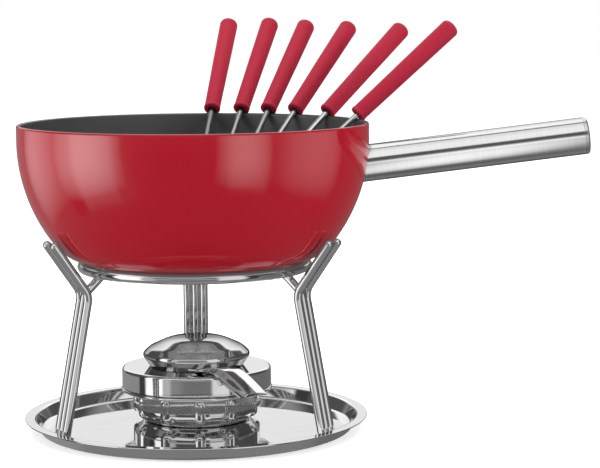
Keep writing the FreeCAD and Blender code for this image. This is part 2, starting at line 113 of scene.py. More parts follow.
def dense(points, gap, closed):
    """Adds points so that no straight run is longer than gap."""
    out = []
    count = len(points)
    for i in range(count if closed else count - 1):
        a, b = points[i], points[(i + 1) % count]
        steps = max(1, int(math.ceil(np.linalg.norm(b - a) / gap)))
        for j in range(steps):
            out.append(a + (b - a) * j / steps)
    if not closed:
        out.append(points[-1])
    return np.array(out)


def clean(points, closed):
    """Drops points that repeat the one before."""
    out = [points[0]]
    for point in points[1:]:
        if np.linalg.norm(point - out[-1]) > 1e-5:
            out.append(point)
    if closed and np.linalg.norm(out[0] - out[-1]) < 1e-5:
        out.pop()
    return np.array(out)


def bisect(test, lo, hi, rounds):
    """Where test turns from false to true between lo and hi."""
    for _ in range(rounds):
        mid = (lo + hi) / 2
        if test(mid):
            hi = mid
        else:
            lo = mid
    return hi


# ------------------------------------------------------------------ shapes
class Shape:
    """Vertices, normals, faces, each face's material slot, and the vertices' own coordinates
    from before the shape is placed, which its textures follow."""

    def __init__(self, verts, normals, faces, slots, own):
        self.verts, self.normals = np.array(verts, float), np.array(normals, float)
        self.faces, self.slots, self.own = faces, slots, np.array(own, float)

    def moved(self, matrix):
        turn = matrix[:3, :3].T
        return Shape(self.verts @ turn + matrix[:3, 3], self.normals @ turn, self.faces,
                     self.slots, self.own)

    def __add__(self, other):
        first = len(self.verts)
        return Shape(np.vstack([self.verts, other.verts]),
                     np.vstack([self.normals, other.normals]),
                     self.faces + [tuple(i + first for i in face) for face in other.faces],
                     self.slots + other.slots, np.vstack([self.own, other.own]))


def lathe(profile, segments, slot_of=lambda r, z, nr, nz: 0):
    """Turns a profile of (r, z) about Z. It stays open if both its ends are on the axis.
    slot_of gives a band's material slot from its middle and its outward normal."""
    profile = np.array(profile, float)
    closed = not (profile[0][0] < 1e-6 and profile[-1][0] < 1e-6)
    profile = clean(profile, closed)
    count = len(profile)
    after = np.roll(profile, -1, 0)
    area = np.sum(profile[:, 0] * after[:, 1] - after[:, 0] * profile[:, 1])
    side = 1.0 if area > 0 else -1.0
    run = after - profile
    outward = np.stack([run[:, 1], -run[:, 0]], 1) * side       # weighted by length
    if not closed:
        outward[-1] = 0
    normal = outward + np.roll(outward, 1, 0)
    normal /= np.linalg.norm(normal, axis=1)[:, None]
    angle = np.linspace(0, 2 * math.pi, segments, endpoint=False)
    cos, sin = np.cos(angle), np.sin(angle)
    verts, normals, first = [], [], []
    pole = profile[:, 0] < 1e-6
    for i, (r, z) in enumerate(profile):
        nr, nz = normal[i]
        first.append(len(verts))
        if pole[i]:
            verts.append((0, 0, z))
            normals.append((0, 0, 1.0 if nz > 0 else -1.0))
        else:
            verts.extend(zip(r * cos, r * sin, np.full(segments, z)))
            normals.extend(zip(nr * cos, nr * sin, np.full(segments, nz)))
    faces, slots = [], []
    for i in range(count if closed else count - 1):
        j = (i + 1) % count
        a, b = first[i], first[j]
        slot = slot_of(*(profile[i] + profile[j]) / 2, *unit(outward[i]))
        for q in range(segments):
            w = (q + 1) % segments
            if pole[i]:
                face = (a, b + q, b + w)
            elif pole[j]:
                face = (a + q, b, a + w)
            else:
                face = (a + q, b + q, b + w, a + w)
            faces.append(face if side < 0 else face[::-1])
            slots.append(slot)
    return Shape(verts, normals, faces, slots, verts)


def bent(start, corner, end, radius, step=3.0):
    """3D path from start to end with a round bend at the corner."""
    back, ahead = unit(start - corner), unit(end - corner)
    angle = math.acos(float(back @ ahead))
    cut = radius / math.tan(angle / 2)
    centre = corner + unit(back + ahead) * (radius / math.sin(angle / 2))
    first, last = corner + back * cut - centre, corner + ahead * cut - centre
    turn = math.pi - angle
    steps = max(3, int(math.ceil(math.degrees(turn) / step)))
    out = [start]
    for j in range(steps + 1):
        w = turn * j / steps
        mixed = first * math.sin(turn - w) + last * math.sin(w)
        out.append(centre + mixed / math.sin(turn))
    return np.array(out + [end])


def slid(points, direction, height):
    """Points slid along a direction until they are at a height."""
    return points + direction * ((height - points[:, 2:3]) / direction[2])


def sweep(path, radius, sides, end, tip=None, floor=None, wide=1.0, thick=1.0):
    """Round bar along a path that starts square to Y. end rounds both ends, or tip the last
    one. An end near the floor is trimmed flush with it. wide and thick scale the section."""
    path = clean(np.array(path, float), False)
    count = len(path)
    radius, wide, thick = (np.broadcast_to(v, count) for v in (radius, wide, thick))
    tip = end if tip is None else tip
    run = path[1:] - path[:-1]
    along = np.zeros_like(path)
    along[:-1] += run
    along[1:] += run
    along /= np.linalg.norm(along, axis=1)[:, None]
    travelled = np.concatenate([[0], np.cumsum(np.linalg.norm(run, axis=1))])
    angle = np.linspace(0, 2 * math.pi, sides, endpoint=False)
    cos, sin = np.cos(angle)[:, None], np.sin(angle)[:, None]
    frames = []
    u = unit(np.cross(along[0], (0, 1, 0)))
    for direction in along:
        u = unit(u - direction * float(u @ direction))
        frames.append((u, np.cross(direction, u)))

    def on_floor(i):
        return floor is not None and path[i][2] < floor + 4.0

    def own(i):
        return np.hstack([cos * radius[i], sin * radius[i], np.full((sides, 1), travelled[i])])

    def cap(i, outward, depth):
        """Rings of (points, normals, own coordinates) that close an end, then its middle."""
        u, v = frames[i]
        rim = cos * u + sin * v
        rows = []
        for degrees in (30, 60, 90) if depth < 1 else (*range(12, 90, 12), 90):
            a = math.radians(degrees)
            points = path[i] + rim * (radius[i] - depth * (1 - math.cos(a)))
            if on_floor(i):
                points = slid(points, outward, floor + depth * (1 - math.sin(a)))
            else:
                points = points + outward * (depth * math.sin(a) - depth)
            rows.append((points, rim * math.cos(a) + outward * math.sin(a), own(i)))
        middle = path[i:i + 1]
        if on_floor(i):
            middle = slid(middle, outward, floor)
        rows.append((middle, outward[None], np.array([[0, 0, travelled[i]]])))
        return rows

    rows = cap(0, -along[0], end)[::-1]
    for i in range(count):
        u, v = frames[i]
        points = path[i] + (cos * wide[i] * u + sin * thick[i] * v) * radius[i]
        if i in (0, count - 1):
            if on_floor(i):
                points = slid(points, along[i], floor + end)
            else:
                points = points + (along[i] * end if i == 0 else -along[i] * tip)
        rows.append((points, cos / wide[i] * u + sin / thick[i] * v, own(i)))
    rows += cap(count - 1, along[-1], tip)

    verts, normals, owns = (np.vstack(column) for column in zip(*rows))
    normals /= np.linalg.norm(normals, axis=1)[:, None]
    sizes = [len(row[0]) for row in rows]
    first = [sum(sizes[:i]) for i in range(len(rows))]
    faces = []
    for i in range(len(rows) - 1):
        a, b = first[i], first[i + 1]
        for q in range(sides):
            w = (q + 1) % sides
            if sizes[i] == 1:
                faces.append((a, b + w, b + q))
            elif sizes[i + 1] == 1:
                faces.append((a + q, a + w, b))
            else:
                faces.append((a + q, a + w, b + w, b + q))
    return Shape(verts, normals, faces, [0] * len(faces), owns)


def loft(loops):
    """Skin over closed loops of equal length, each end filled with a fan."""
    size = len(loops[0])
    verts = [point for loop in loops for point in loop]
    faces = []

    def pairs(i):
        return [(i * size + j, i * size + (j + 1) % size) for j in range(size)]

    for i in range(len(loops) - 1):
        faces += [(a, b, b + size, a + size) for a, b in pairs(i)]
    faces += [(len(verts), b, a) for a, b in pairs(0)]
    verts.append(np.mean(loops[0], 0))
    faces += [(a, b, len(verts)) for a, b in pairs(len(loops) - 1)]
    verts.append(np.mean(loops[-1], 0))
    return Shape(verts, np.zeros((len(verts), 3)), faces, [0] * len(faces), verts)


def make(name, shape, materials, body, node, sharp=None):
    """Object from a shape. It keeps the shape's normals unless sharp, the angle in degrees
    above which edges are sharp, is given."""
    mesh = bpy.data.meshes.new(name)
    mesh.from_pydata((shape.verts * MM).astype(np.float32).tolist(), [], shape.faces)
    for material in materials:
        mesh.materials.append(material)
    mesh.polygons.foreach_set("material_index", np.array(shape.slots, np.int32))
    own = mesh.attributes.new("loc", "FLOAT_VECTOR", "POINT")
    own.data.foreach_set("vector", (shape.own * MM).astype(np.float32).ravel())
    mesh.update()
    mesh.shade_smooth()
    if sharp is None:
        mesh.normals_split_custom_set_from_vertices([tuple(n) for n in shape.normals])
    else:
        mesh.set_sharp_from_angle(angle=math.radians(sharp))
    obj = bpy.data.objects.new(name, mesh)
    bpy.context.scene.collection.objects.link(obj)
    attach(obj, body)
    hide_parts(node)


def axes(x_axis, y_axis, z_axis, origin):
    matrix = np.eye(4)
    for i, column in enumerate((x_axis, y_axis, z_axis, origin)):
        matrix[:3, i] = column
    return matrix


def turned(degrees, x=0.0, y=0.0):
    """Matrix that turns about Z, then moves to (x, y)."""
    cos, sin = math.cos(math.radians(degrees)), math.sin(math.radians(degrees))
    return axes((cos, sin, 0), (-sin, cos, 0), (0, 0, 1), (x, y, 0))


# ------------------------------------------------------------------ node tools
class Graph:
    """Short ways to add nodes to a tree. A value may be a number, a colour or a socket."""

    def __init__(self, tree):
        self.tree = tree

    def node(self, kind, **props):
        node = self.tree.nodes.new(kind)
        for key, value in props.items():
            setattr(node, key, value)
        return node

    def link(self, source, target):
        self.tree.links.new(source, target)

    def put(self, socket, value):
        if isinstance(value, bpy.types.NodeSocket):
            self.link(value, socket)
        elif isinstance(value, tuple) and len(value) == 3 and len(socket.default_value) == 4:
            socket.default_value = (*value, 1.0)
        else:
            socket.default_value = value

    def math(self, operation, a, b=0.0):
        node = self.node("ShaderNodeMath", operation=operation)
        self.put(node.inputs[0], a)
        self.put(node.inputs[1], b)
        return node.outputs[0]

    def add(self, a, b):
        return self.math("ADD", a, b)

    def sub(self, a, b):
        return self.math("SUBTRACT", a, b)

    def mul(self, a, b):
        return self.math("MULTIPLY", a, b)

    def plus(self, base, value, by, about=None):
        """base + value * by, with value counted from about."""
        if about is not None:
            value = self.sub(value, about)
        return self.add(base, self.mul(value, by))

    def step(self, value, lo, hi):
        """Smooth rise from 0 at lo to 1 at hi."""
        node = self.node("ShaderNodeMapRange", interpolation_type="SMOOTHSTEP")
        self.put(node.inputs["Value"], value)
        self.put(node.inputs["From Min"], lo)
        self.put(node.inputs["From Max"], hi)
        return node.outputs["Result"]

    def split(self, vector):
        node = self.node("ShaderNodeSeparateXYZ")
        self.link(vector, node.inputs[0])
        return node.outputs


class Material(Graph):
    """Principled material. Textures follow the "loc" attribute or the object's coordinates."""

    def __init__(self, name, coords="loc"):
        self.material = bpy.data.materials.new(name)
        self.material.use_nodes = True
        super().__init__(self.material.node_tree)
        self.tree.nodes.clear()
        output = self.node("ShaderNodeOutputMaterial")
        self.shader = self.node("ShaderNodeBsdfPrincipled")
        self.link(self.shader.outputs[0], output.inputs[0])
        if coords == "loc":
            attribute = self.node("ShaderNodeAttribute", attribute_name="loc")
            self.coords = attribute.outputs["Vector"]
        else:
            self.coords = self.node("ShaderNodeTexCoord").outputs["Object"]

    def set(self, **inputs):
        for key, value in inputs.items():
            self.put(self.shader.inputs[key.replace("_", " ")], value)

    def noise(self, scale, detail=2.0, rough=0.5, distort=0.0, stretch=None, coords=None):
        node = self.node("ShaderNodeTexNoise")
        node.inputs["Scale"].default_value = scale
        node.inputs["Detail"].default_value = detail
        node.inputs["Roughness"].default_value = rough
        node.inputs["Distortion"].default_value = distort
        coords = coords or self.coords
        if stretch:
            scaled = self.node("ShaderNodeVectorMath", operation="MULTIPLY")
            self.link(coords, scaled.inputs[0])
            scaled.inputs[1].default_value = stretch
            coords = scaled.outputs[0]
        self.link(coords, node.inputs["Vector"])
        return node.outputs["Fac"]

    def patches(self, lo, hi, **noise):
        """Noise cut to patches that start at lo and are full at hi."""
        return self.step(self.noise(**noise), lo, hi)

    def spun(self, scale):
        """Noise that changes with radius and height only: turned or spun rings."""
        x, y, z = self.split(self.coords)
        radius = self.math("SQRT", self.add(self.mul(x, x), self.mul(y, y)))
        node = self.node("ShaderNodeCombineXYZ")
        self.link(radius, node.inputs[0])
        self.link(z, node.inputs[2])
        return self.noise(scale, detail=3.0, rough=0.7, coords=node.outputs[0])

    def mix_color(self, factor, low, high):
        node = self.node("ShaderNodeMix", data_type="RGBA")
        self.put(node.inputs[0], factor)
        self.put(node.inputs[6], low)
        self.put(node.inputs[7], high)
        return node.outputs[2]

    def tint(self, base, mask, amount, color):
        return self.mix_color(self.mul(mask, amount), base, color)

    def mix_value(self, factor, low, high):
        node = self.node("ShaderNodeMix", data_type="FLOAT")
        self.put(node.inputs[0], factor)
        self.put(node.inputs[2], low)
        self.put(node.inputs[3], high)
        return node.outputs[0]

    def bump(self, height, dist, normal=None):
        """Bump dist metres deep, over an earlier normal."""
        node = self.node("ShaderNodeBump")
        node.inputs["Strength"].default_value = 1.0
        node.inputs["Distance"].default_value = dist
        self.link(height, node.inputs["Height"])
        if normal is not None:
            self.link(normal, node.inputs["Normal"])
        return node.outputs["Normal"]

    def glossy_ray(self):
        return self.node("ShaderNodeLightPath").outputs["Is Glossy Ray"]


# ------------------------------------------------------------------ materials
def polished(name, grain, tone=(0.79, 0.79, 0.793), dark=(0.69, 0.69, 0.695), rough=0.03,
             wave=6e-5, wave_scale=22.0, grain_bump=1.2e-6, smudge=0.06, coords="loc", mark=0.10,
             rim=1.0):
    """Mirror-polished or plated steel: slow waviness, hairlines, wipe marks and smudges."""
    m = Material(name, coords)
    if grain == "spun":
        lines = m.spun(1400.0)
    elif grain == "drawn":
        lines = m.noise(scale=900.0, detail=3.0, rough=0.7, stretch=(1.0, 1.0, 0.02))
    else:
        lines = m.noise(scale=900.0, detail=3.0, rough=0.6)
    slow = m.noise(scale=wave_scale)
    smear = m.patches(lo=0.52, hi=0.72, scale=38.0, detail=5.0, rough=0.62, distort=0.8)
    spots = m.patches(lo=0.70, hi=0.78, scale=260.0)
    hair_noise = dict(scale=60.0, detail=6.0, rough=0.78)
    hairs = m.math("MAXIMUM",
                   m.patches(lo=0.665, hi=0.70, stretch=(9.0, 0.6, 2.2), distort=0.3,
                             **hair_noise),
                   m.patches(lo=0.67, hi=0.705, stretch=(0.6, 8.0, 1.7), distort=0.4,
                             **hair_noise))
    average = m.mul(m.add(slow, smear), 0.5)
    m.set(Base_Color=m.mix_color(average, tone, dark), Metallic=1.0)
    roughness = m.plus(rough, smear, by=smudge)
    roughness = m.plus(roughness, lines, by=0.035, about=0.35)
    roughness = m.plus(roughness, hairs, by=mark)
    roughness = m.plus(roughness, spots, by=0.03)
    smoothest = 0.012
    # rim below 1 tints the reflection darker at grazing angles: painted dark outlines along the
    # silhouettes
    m.set(Roughness=m.math("MAXIMUM", roughness, smoothest), Specular_Tint=(rim, rim, rim))
    normal = m.bump(slow, dist=wave)
    normal = m.bump(lines, dist=grain_bump, normal=normal)
    m.set(Normal=m.bump(hairs, dist=-1.5e-6, normal=normal))
    return m.material


def satin(name, tone=(0.66, 0.66, 0.66), dark=(0.56, 0.56, 0.56), rough=0.24, coords="loc",
          aniso=0.0, depth=5e-6, freq=1500.0, painted_bounce_glow=0.0, rim=1.0):
    """Brushed steel: fine lines all round, uneven in depth, with a few deeper ones."""
    m = Material(name, coords)
    fine = m.spun(freq)
    coarse = m.spun(freq * 0.3)
    slow = m.noise(scale=26.0, detail=3.0, rough=0.55)
    prints = m.patches(lo=0.56, hi=0.74, scale=52.0, detail=4.0, rough=0.6, distort=1.0)
    lines = m.plus(m.mul(fine, 0.75), coarse, by=0.45)
    m.set(Base_Color=m.mix_color(m.step(lines, lo=0.35, hi=0.85), dark, tone), Metallic=1.0)
    roughness = m.plus(rough - 0.06, fine, by=0.10)
    roughness = m.plus(roughness, slow, by=0.08, about=0.5)
    roughness = m.plus(roughness, prints, by=0.05)
    smoothest = 0.05
    # rim below 1 tints the reflection darker at grazing angles: painted dark outlines along the
    # silhouettes
    m.set(Roughness=m.math("MAXIMUM", roughness, smoothest), Specular_Tint=(rim, rim, rim))
    normal = m.bump(slow, dist=4e-5)
    normal = m.bump(fine, dist=depth, normal=normal)
    m.set(Normal=m.bump(m.step(coarse, lo=0.62, hi=0.70), dist=-3e-6, normal=normal))
    if painted_bounce_glow:
        # painted light: a glow that only mirrors see, standing in for the table lighting it from
        # below
        m.set(Emission_Color=(1, 1, 1), Emission_Strength=m.mul(m.glossy_ray(), painted_bounce_glow))
    if aniso:
        # the lines run round the tube, so highlights stretch along it, at the handle's tilt
        slope = 0.11868
        tangent = m.node("ShaderNodeCombineXYZ")
        tangent.inputs[0].default_value = math.cos(slope)
        tangent.inputs[2].default_value = math.sin(slope)
        m.set(Anisotropic=aniso, Tangent=tangent.outputs[0])
    return m.material


# painted reflection: to mirrors the red parts are painted almost grey
RED_PAINTED_GREY_FOR_MIRRORS = dict(amount=0.88, color=(0.12, 0.11, 0.11))


def lacquer():
    """Gloss red: clear coat with orange peel over a slightly uneven colour."""
    m = Material("red_lacquer_gloss")
    tone = m.noise(scale=14.0, detail=3.0, rough=0.55)
    speck = m.patches(lo=0.66, hi=0.74, scale=1500.0, detail=1.0)
    fine = m.noise(scale=3200.0, rough=0.6)
    color = m.mix_color(tone, low=(0.275, 0.0030, 0.0105), high=(0.320, 0.0042, 0.0135))
    color = m.tint(color, speck, amount=0.30, color=(0.42, 0.012, 0.022))
    color = m.tint(color, fine, amount=0.18, color=(0.24, 0.003, 0.009))
    glossy = m.glossy_ray()
    # painted reflection: glossy rays see this red mixed almost to grey
    color = m.tint(color, glossy, **RED_PAINTED_GREY_FOR_MIRRORS)
    peel = m.noise(scale=420.0)
    slow = m.noise(scale=9.0)
    wipe = m.patches(lo=0.55, hi=0.75, scale=30.0, detail=5.0, rough=0.65, distort=0.9)
    hair = m.patches(lo=0.68, hi=0.71, scale=55.0, detail=6.0, rough=0.78, distort=0.3,
                     stretch=(1.0, 1.0, 7.0))
    m.set(Base_Color=color, Roughness=m.mix_value(tone, low=0.40, high=0.50),
          Specular_IOR_Level=0.03)
    coat_rough = m.plus(0.060, wipe, by=0.035)
    coat_rough = m.plus(coat_rough, hair, by=0.06)
    m.set(Coat_Weight=0.75, Coat_Roughness=coat_rough, Coat_IOR=1.45)
    # painted light: only mirrors see the red paint glow faintly, standing in for light on the pot's
    # underside
    m.set(Emission_Color=(1.0, 0.93, 0.93), Emission_Strength=m.mul(glossy, 0.06))
    m.set(Coat_Normal=m.bump(peel, dist=4.5e-6, normal=m.bump(slow, dist=1.6e-4)),
          Normal=m.bump(fine, dist=2e-6, normal=m.bump(slow, dist=1.6e-4)))
    return m.material


def nonstick():
    """Dark grey coating with light flecks and faint rings."""
    m = Material("non_stick_coating")
    grit = m.noise(scale=1900.0, detail=3.0, rough=0.7)
    fleck = m.patches(lo=0.68, hi=0.76, scale=2600.0, detail=1.0)
    slow = m.noise(scale=20.0, detail=3.0)
    rings = m.spun(260.0)
    color = m.mix_color(slow, low=(0.040, 0.040, 0.041), high=(0.058, 0.058, 0.059))
    color = m.tint(color, fleck, amount=0.6, color=(0.11, 0.11, 0.115))
    m.set(Base_Color=color, Specular_IOR_Level=0.45)
    rough = m.mix_value(slow, low=0.40, high=0.50)
    m.set(Roughness=m.plus(rough, rings, by=0.10, about=0.5))
    m.set(Normal=m.bump(rings, dist=8e-6, normal=m.bump(grit, dist=1.6e-5)))
    return m.material


def soft_touch():
    """Rubbery moulded grip: matt, with fine grain, a faint sheen and handling marks."""
    m = Material("soft_touch_red")
    grit = m.noise(scale=2600.0, detail=3.0, rough=0.7)
    pores = m.patches(lo=0.60, hi=0.74, scale=1700.0, detail=1.0)
    slow = m.noise(scale=55.0, detail=4.0, rough=0.6)
    rub = m.patches(lo=0.54, hi=0.74, scale=70.0, detail=4.0, rough=0.65, distort=0.7)
    color = m.mix_color(slow, low=(0.315, 0.0085, 0.027), high=(0.365, 0.0110, 0.034))
    color = m.tint(color, pores, amount=0.22, color=(0.24, 0.006, 0.020))
    color = m.tint(color, rub, amount=0.16, color=(0.44, 0.024, 0.058))
    # painted reflection: glossy rays see this red mixed almost to grey
    color = m.tint(color, m.glossy_ray(), **RED_PAINTED_GREY_FOR_MIRRORS)
    m.set(Base_Color=color, Roughness=m.mix_value(rub, low=0.66, high=0.54),
          Specular_IOR_Level=0.25)
    m.set(Sheen_Weight=0.08, Sheen_Roughness=0.45, Sheen_Tint=(1.0, 0.55, 0.62))
    normal = m.bump(slow, dist=3e-5)
    normal = m.bump(grit, dist=9e-6, normal=normal)
    m.set(Normal=m.bump(pores, dist=-8e-6, normal=normal))
    return m.material


def painted_recess_shade():
    """Painted shade: the recess where the shaft goes into the grip, coloured near black as if in
    shadow.
    """
    m = Material("grip_recess_painted_shade")
    grain = m.noise(scale=2400.0, detail=3.0, rough=0.6)
    m.set(Base_Color=m.mix_color(grain, low=(0.030, 0.012, 0.014), high=(0.075, 0.020, 0.026)),
          Roughness=m.mix_value(grain, low=0.55, high=0.8), Normal=m.bump(grain, dist=1e-5))
    return m.material


def fibre():
    """Pale tufted felt, a little sooty."""
    m = Material("wick_fibre_felt", "object")
    grain = m.noise(scale=1400.0, detail=6.0, rough=0.8, distort=1.5)
    tuft = m.noise(scale=300.0, detail=4.0, rough=0.7, distort=0.8)
    soot = m.patches(lo=0.45, hi=0.75, scale=60.0, detail=4.0, rough=0.6)
    color = m.mix_color(grain, low=(0.42, 0.40, 0.36), high=(0.78, 0.76, 0.70))
    color = m.tint(color, soot, amount=0.30, color=(0.18, 0.165, 0.15))
    m.set(Base_Color=color, Roughness=0.95, Sheen_Weight=0.4, Sheen_Roughness=0.6)
    m.set(Normal=m.bump(m.add(grain, tuft), dist=4e-4))
    return m.material


def paper():
    """White floor that glows a little."""
    m = Material("studio_paper", "object")
    grain = m.noise(scale=900.0, detail=3.0, rough=0.6)
    m.set(Base_Color=m.mix_color(grain, low=(0.80, 0.80, 0.80), high=(0.84, 0.84, 0.84)),
          Roughness=0.9, Specular_IOR_Level=0.0, Normal=m.bump(grain, dist=2e-5),
          Emission_Color=(1, 1, 1), Emission_Strength=0.60)
    return m.material


TRAY_STEEL = polished("tray_mirror_steel", "spun", rough=0.028, wave=5e-5, wave_scale=16.0,
                      smudge=0.05)
# rim=0.30 gives the rods painted dark outlines
ROD_STEEL = polished("stand_plated_rod", "drawn", tone=(0.80, 0.80, 0.80),
                     dark=(0.70, 0.70, 0.70), rough=0.035, wave=2.0e-5, wave_scale=45.0,
                     grain_bump=7e-7, smudge=0.05, mark=0.05, rim=0.30)
RING_STEEL = polished("stand_plated_ring", "even", tone=(0.78, 0.78, 0.78),
                      dark=(0.66, 0.66, 0.66), rough=0.05, wave=2.5e-5, wave_scale=45.0,
                      smudge=0.07)
BURNER_STEEL = polished("burner_mirror_steel", "spun", wave=4.5e-5, wave_scale=34.0,
                        smudge=0.05)
# rim=0.35 gives the dome painted dark outlines
LID_STEEL = polished("lid_mirror_steel", "spun", wave=4.5e-5, wave_scale=34.0, smudge=0.05,
                     rim=0.35)
LEVER_STEEL = polished("lid_lever_steel", "even", rough=0.05, wave=5e-5, wave_scale=60.0,
                       smudge=0.07)
BURNER_INNER = polished("burner_inner_steel", "even", rough=0.07, wave=4e-5, wave_scale=34.0,
                        coords="object")
PLAIN_STEEL = satin("plain_inner_steel", rough=0.30, coords="object")
# the base disc gets the painted glow, for the table's light on it as mirrors see it
DISC_STEEL = satin("base_disc_steel", rough=0.26, freq=1200.0, painted_bounce_glow=0.10)
# rim=0.30 gives the handle tube painted dark outlines
TUBE_STEEL = satin("handle_satin_steel", tone=(0.80, 0.80, 0.80), dark=(0.72, 0.72, 0.72),
                   rough=0.155, freq=2100.0, depth=1.0e-6, aniso=0.55, rim=0.30)
CAP_STEEL = satin("handle_end_steel", rough=0.22, freq=2100.0, depth=2.5e-6)
LIP_STEEL = satin("pot_lip_steel", tone=(0.30, 0.29, 0.285), dark=(0.16, 0.15, 0.15),
                  rough=0.30)
SHAFT_STEEL = polished("fork_polished_shaft", "drawn", rough=0.045, wave=1.5e-5,
                       wave_scale=80.0)
RED_LACQUER = lacquer()
PAN_COATING = nonstick()
GRIP_RED = soft_touch()
GRIP_RECESS_SHADE = painted_recess_shade()
FELT = fibre()

# ------------------------------------------------------------------ tray
TRAY_T = 1.0
TRAY_PATH = [(0.0, 0.5), (106.8, 0.5), (111.0, 9.3), (118.0, 9.3)]     # middle of sheet (r, z)
tray_profile = sheet(TRAY_PATH, radii=[2.6, 1.6], thickness=TRAY_T, end=0.42, step=6)
make("tray_dish", lathe(dense(tray_profile, 9.0, False), 288), [TRAY_STEEL],
     "tray_base", "tray")

# ------------------------------------------------------------------ stand
# Each leg has two rods side by side that run up past the pot, and between them a strut that
# turns in under it. All bend at the knee. They are drawn towards +X, then turned to place.
ROD_R = 2.975
ROD_OFFSET = 5.99                    # rod centre from the leg's middle
LEG_FLOOR = 1.02
FOOT, KNEE, ROD_TOP = (102.05, 1.0), (82.8, 99.2), (106.8, 133.0)      # (x, z)
ROD_BEND, STRUT_BEND = 13.0, 9.0
STRUT_END_X = 69.5
STRUT_RISE = math.radians(42.585)
LEG_AZIMUTHS = (("left", 210.4), ("right", -28.2), ("back", 92.8))
RING_R, RING_ROD_R, RING_Z = 77.0, 3.5, 113.352


def in_leg(place, y):
    return np.array([place[0], y, place[1]])


def rod(y):
    """Long rod with a domed top."""
    knee, top = in_leg(KNEE, y), in_leg(ROD_TOP, y)
    path = bent(in_leg(FOOT, y), knee, top + unit(top - knee) * ROD_R, ROD_BEND)
    return sweep(path, ROD_R, sides=36, end=0.3, tip=ROD_R * 0.98, floor=LEG_FLOOR)


def strut():
    inward = np.array([-1.0, 0, math.tan(STRUT_RISE)]) * (KNEE[0] - STRUT_END_X)
    knee = in_leg(KNEE, 0)
    path = bent(in_leg(FOOT, 0), knee, knee + inward, STRUT_BEND)
    return sweep(path, ROD_R, sides=36, end=0.45, floor=LEG_FLOOR)


leg_parts = {"rod_1": rod(-ROD_OFFSET), "rod_2": rod(ROD_OFFSET), "strut": strut()}
for side, azimuth in LEG_AZIMUTHS:
    for part, shape in leg_parts.items():
        make("%s_leg_%s" % (side, part), shape.moved(turned(azimuth)), [ROD_STEEL],
             "stand", "leg_%s_%s" % (side, part))

make("ring_rod", lathe(arc(RING_R, RING_Z, RING_ROD_R, 0, 360, 10)[:-1], 288), [RING_STEEL],
     "stand", "support_ring")

# ------------------------------------------------------------------ pot
POT_R, POT_TOP, POT_BASE, POT_WALL = 120.0, 210.7, 115.8, 3.0
ARC_R, ARC_Z = 114.0, 199.6          # the wall is upright above ARC_Z and curves in below it
LIP_R = POT_WALL / 2
LIP_Z = POT_TOP - LIP_R
INSIDE_Z = 120.3
OUTER_CORNER, INNER_CORNER = 35.4, 31.0
RECESS_R, RECESS_Z = 62.05, 117.3    # recess under the pot that holds the base disc
DISC_R, DISC_T = 62.0, 1.45
GROOVE_RADII, GROOVE_W, GROOVE_DEPTH = (18.0, 32.0, 46.0), 0.8, 0.4


def wall(radius, arc_r, corner_r, base):
    """Curved wall and bottom corner, from ARC_Z down, and the corner centre's radius."""
    centre_r = radius - arc_r
    drop = base + corner_r - ARC_Z
    corner = centre_r + math.sqrt((arc_r - corner_r) ** 2 - drop ** 2)
    meet = math.degrees(math.atan2(drop, corner - centre_r))
    side = arc(centre_r, ARC_Z, arc_r, 0, meet, step=1.0)
    return side + arc(corner, base + corner_r, corner_r, meet, -90, step=2.5)[1:], corner


def pot_slot(r, z, nr, nz):
    """0 lacquer, 1 inside coating, 2 recess steel, 3 bare lip."""
    if r < 62.3 and z < 118.0:
        return 2
    if z > POT_TOP - 0.62:
        return 3 if r < POT_R - 0.75 else 0
    if r > POT_R - 1.0 or z < 117.0:
        return 0
    return 1 if z > INSIDE_Z - 0.01 and (nz > 0.02 or nr < -0.02) else 0


outer_wall, flat_r = wall(POT_R, ARC_R, OUTER_CORNER, POT_BASE)
inner_wall, _ = wall(POT_R - POT_WALL, ARC_R - POT_WALL, INNER_CORNER, INSIDE_Z)
underside = fillet([(0.0, RECESS_Z), (RECESS_R, RECESS_Z), (RECESS_R, POT_BASE),
                    (flat_r, POT_BASE)], [0, 0.2, 0.3, 0], closed=False)
upright = np.linspace(POT_TOP - 2.2, ARC_Z + 0.6, 9)
pot_profile = (list(map(tuple, underside)) + outer_wall[::-1]
               + [(POT_R, z) for z in upright[::-1]] + arc(POT_R - LIP_R, LIP_Z, LIP_R, 0, 180, 7.5)
               + [(POT_R - POT_WALL, z) for z in upright] + inner_wall
               + [(r, INSIDE_Z) for r in (50.0, 30.0, 12.0, 0.0)])
make("pot_shell", lathe(pot_profile, 288, pot_slot),
     [RED_LACQUER, PAN_COATING, DISC_STEEL, LIP_STEEL], "pot", "pot_body")

# base disc, with three grooves in its underside
disc_outline, disc_radii = [(0.0, POT_BASE)], [0]
for r in GROOVE_RADII:
    disc_outline += [(r, POT_BASE), (r, POT_BASE + GROOVE_DEPTH),
                     (r + GROOVE_W, POT_BASE + GROOVE_DEPTH), (r + GROOVE_W, POT_BASE)]
    disc_radii += [0.12, 0.15, 0.15, 0.12]
disc_outline += [(DISC_R, POT_BASE), (DISC_R, POT_BASE + DISC_T), (0.0, POT_BASE + DISC_T)]
disc_radii += [0.5, 0.2, 0]
disc_profile = fillet(disc_outline, disc_radii, closed=False, step=30)
make("base_disc", lathe(dense(disc_profile, 9.0, False), 192), [DISC_STEEL],
     "pot", "pot_base_disc")

# ------------------------------------------------------------------ handle
# A tube along its own Z, which starts inside the pot and tilts up along +X.
HANDLE_TILT = math.radians(6.8)
HANDLE_X, HANDLE_Z, HANDLE_END_X = 118.0, 182.4, 269.4
HANDLE_BURIED = 14.0                 # length before HANDLE_X
TUBE_R, TUBE_INNER_R, CAP_T = 12.7, 11.5, 3.2
HANDLE_LENGTH = (HANDLE_END_X - HANDLE_X) / math.cos(HANDLE_TILT) + HANDLE_BURIED
TUBE_END = HANDLE_LENGTH - CAP_T

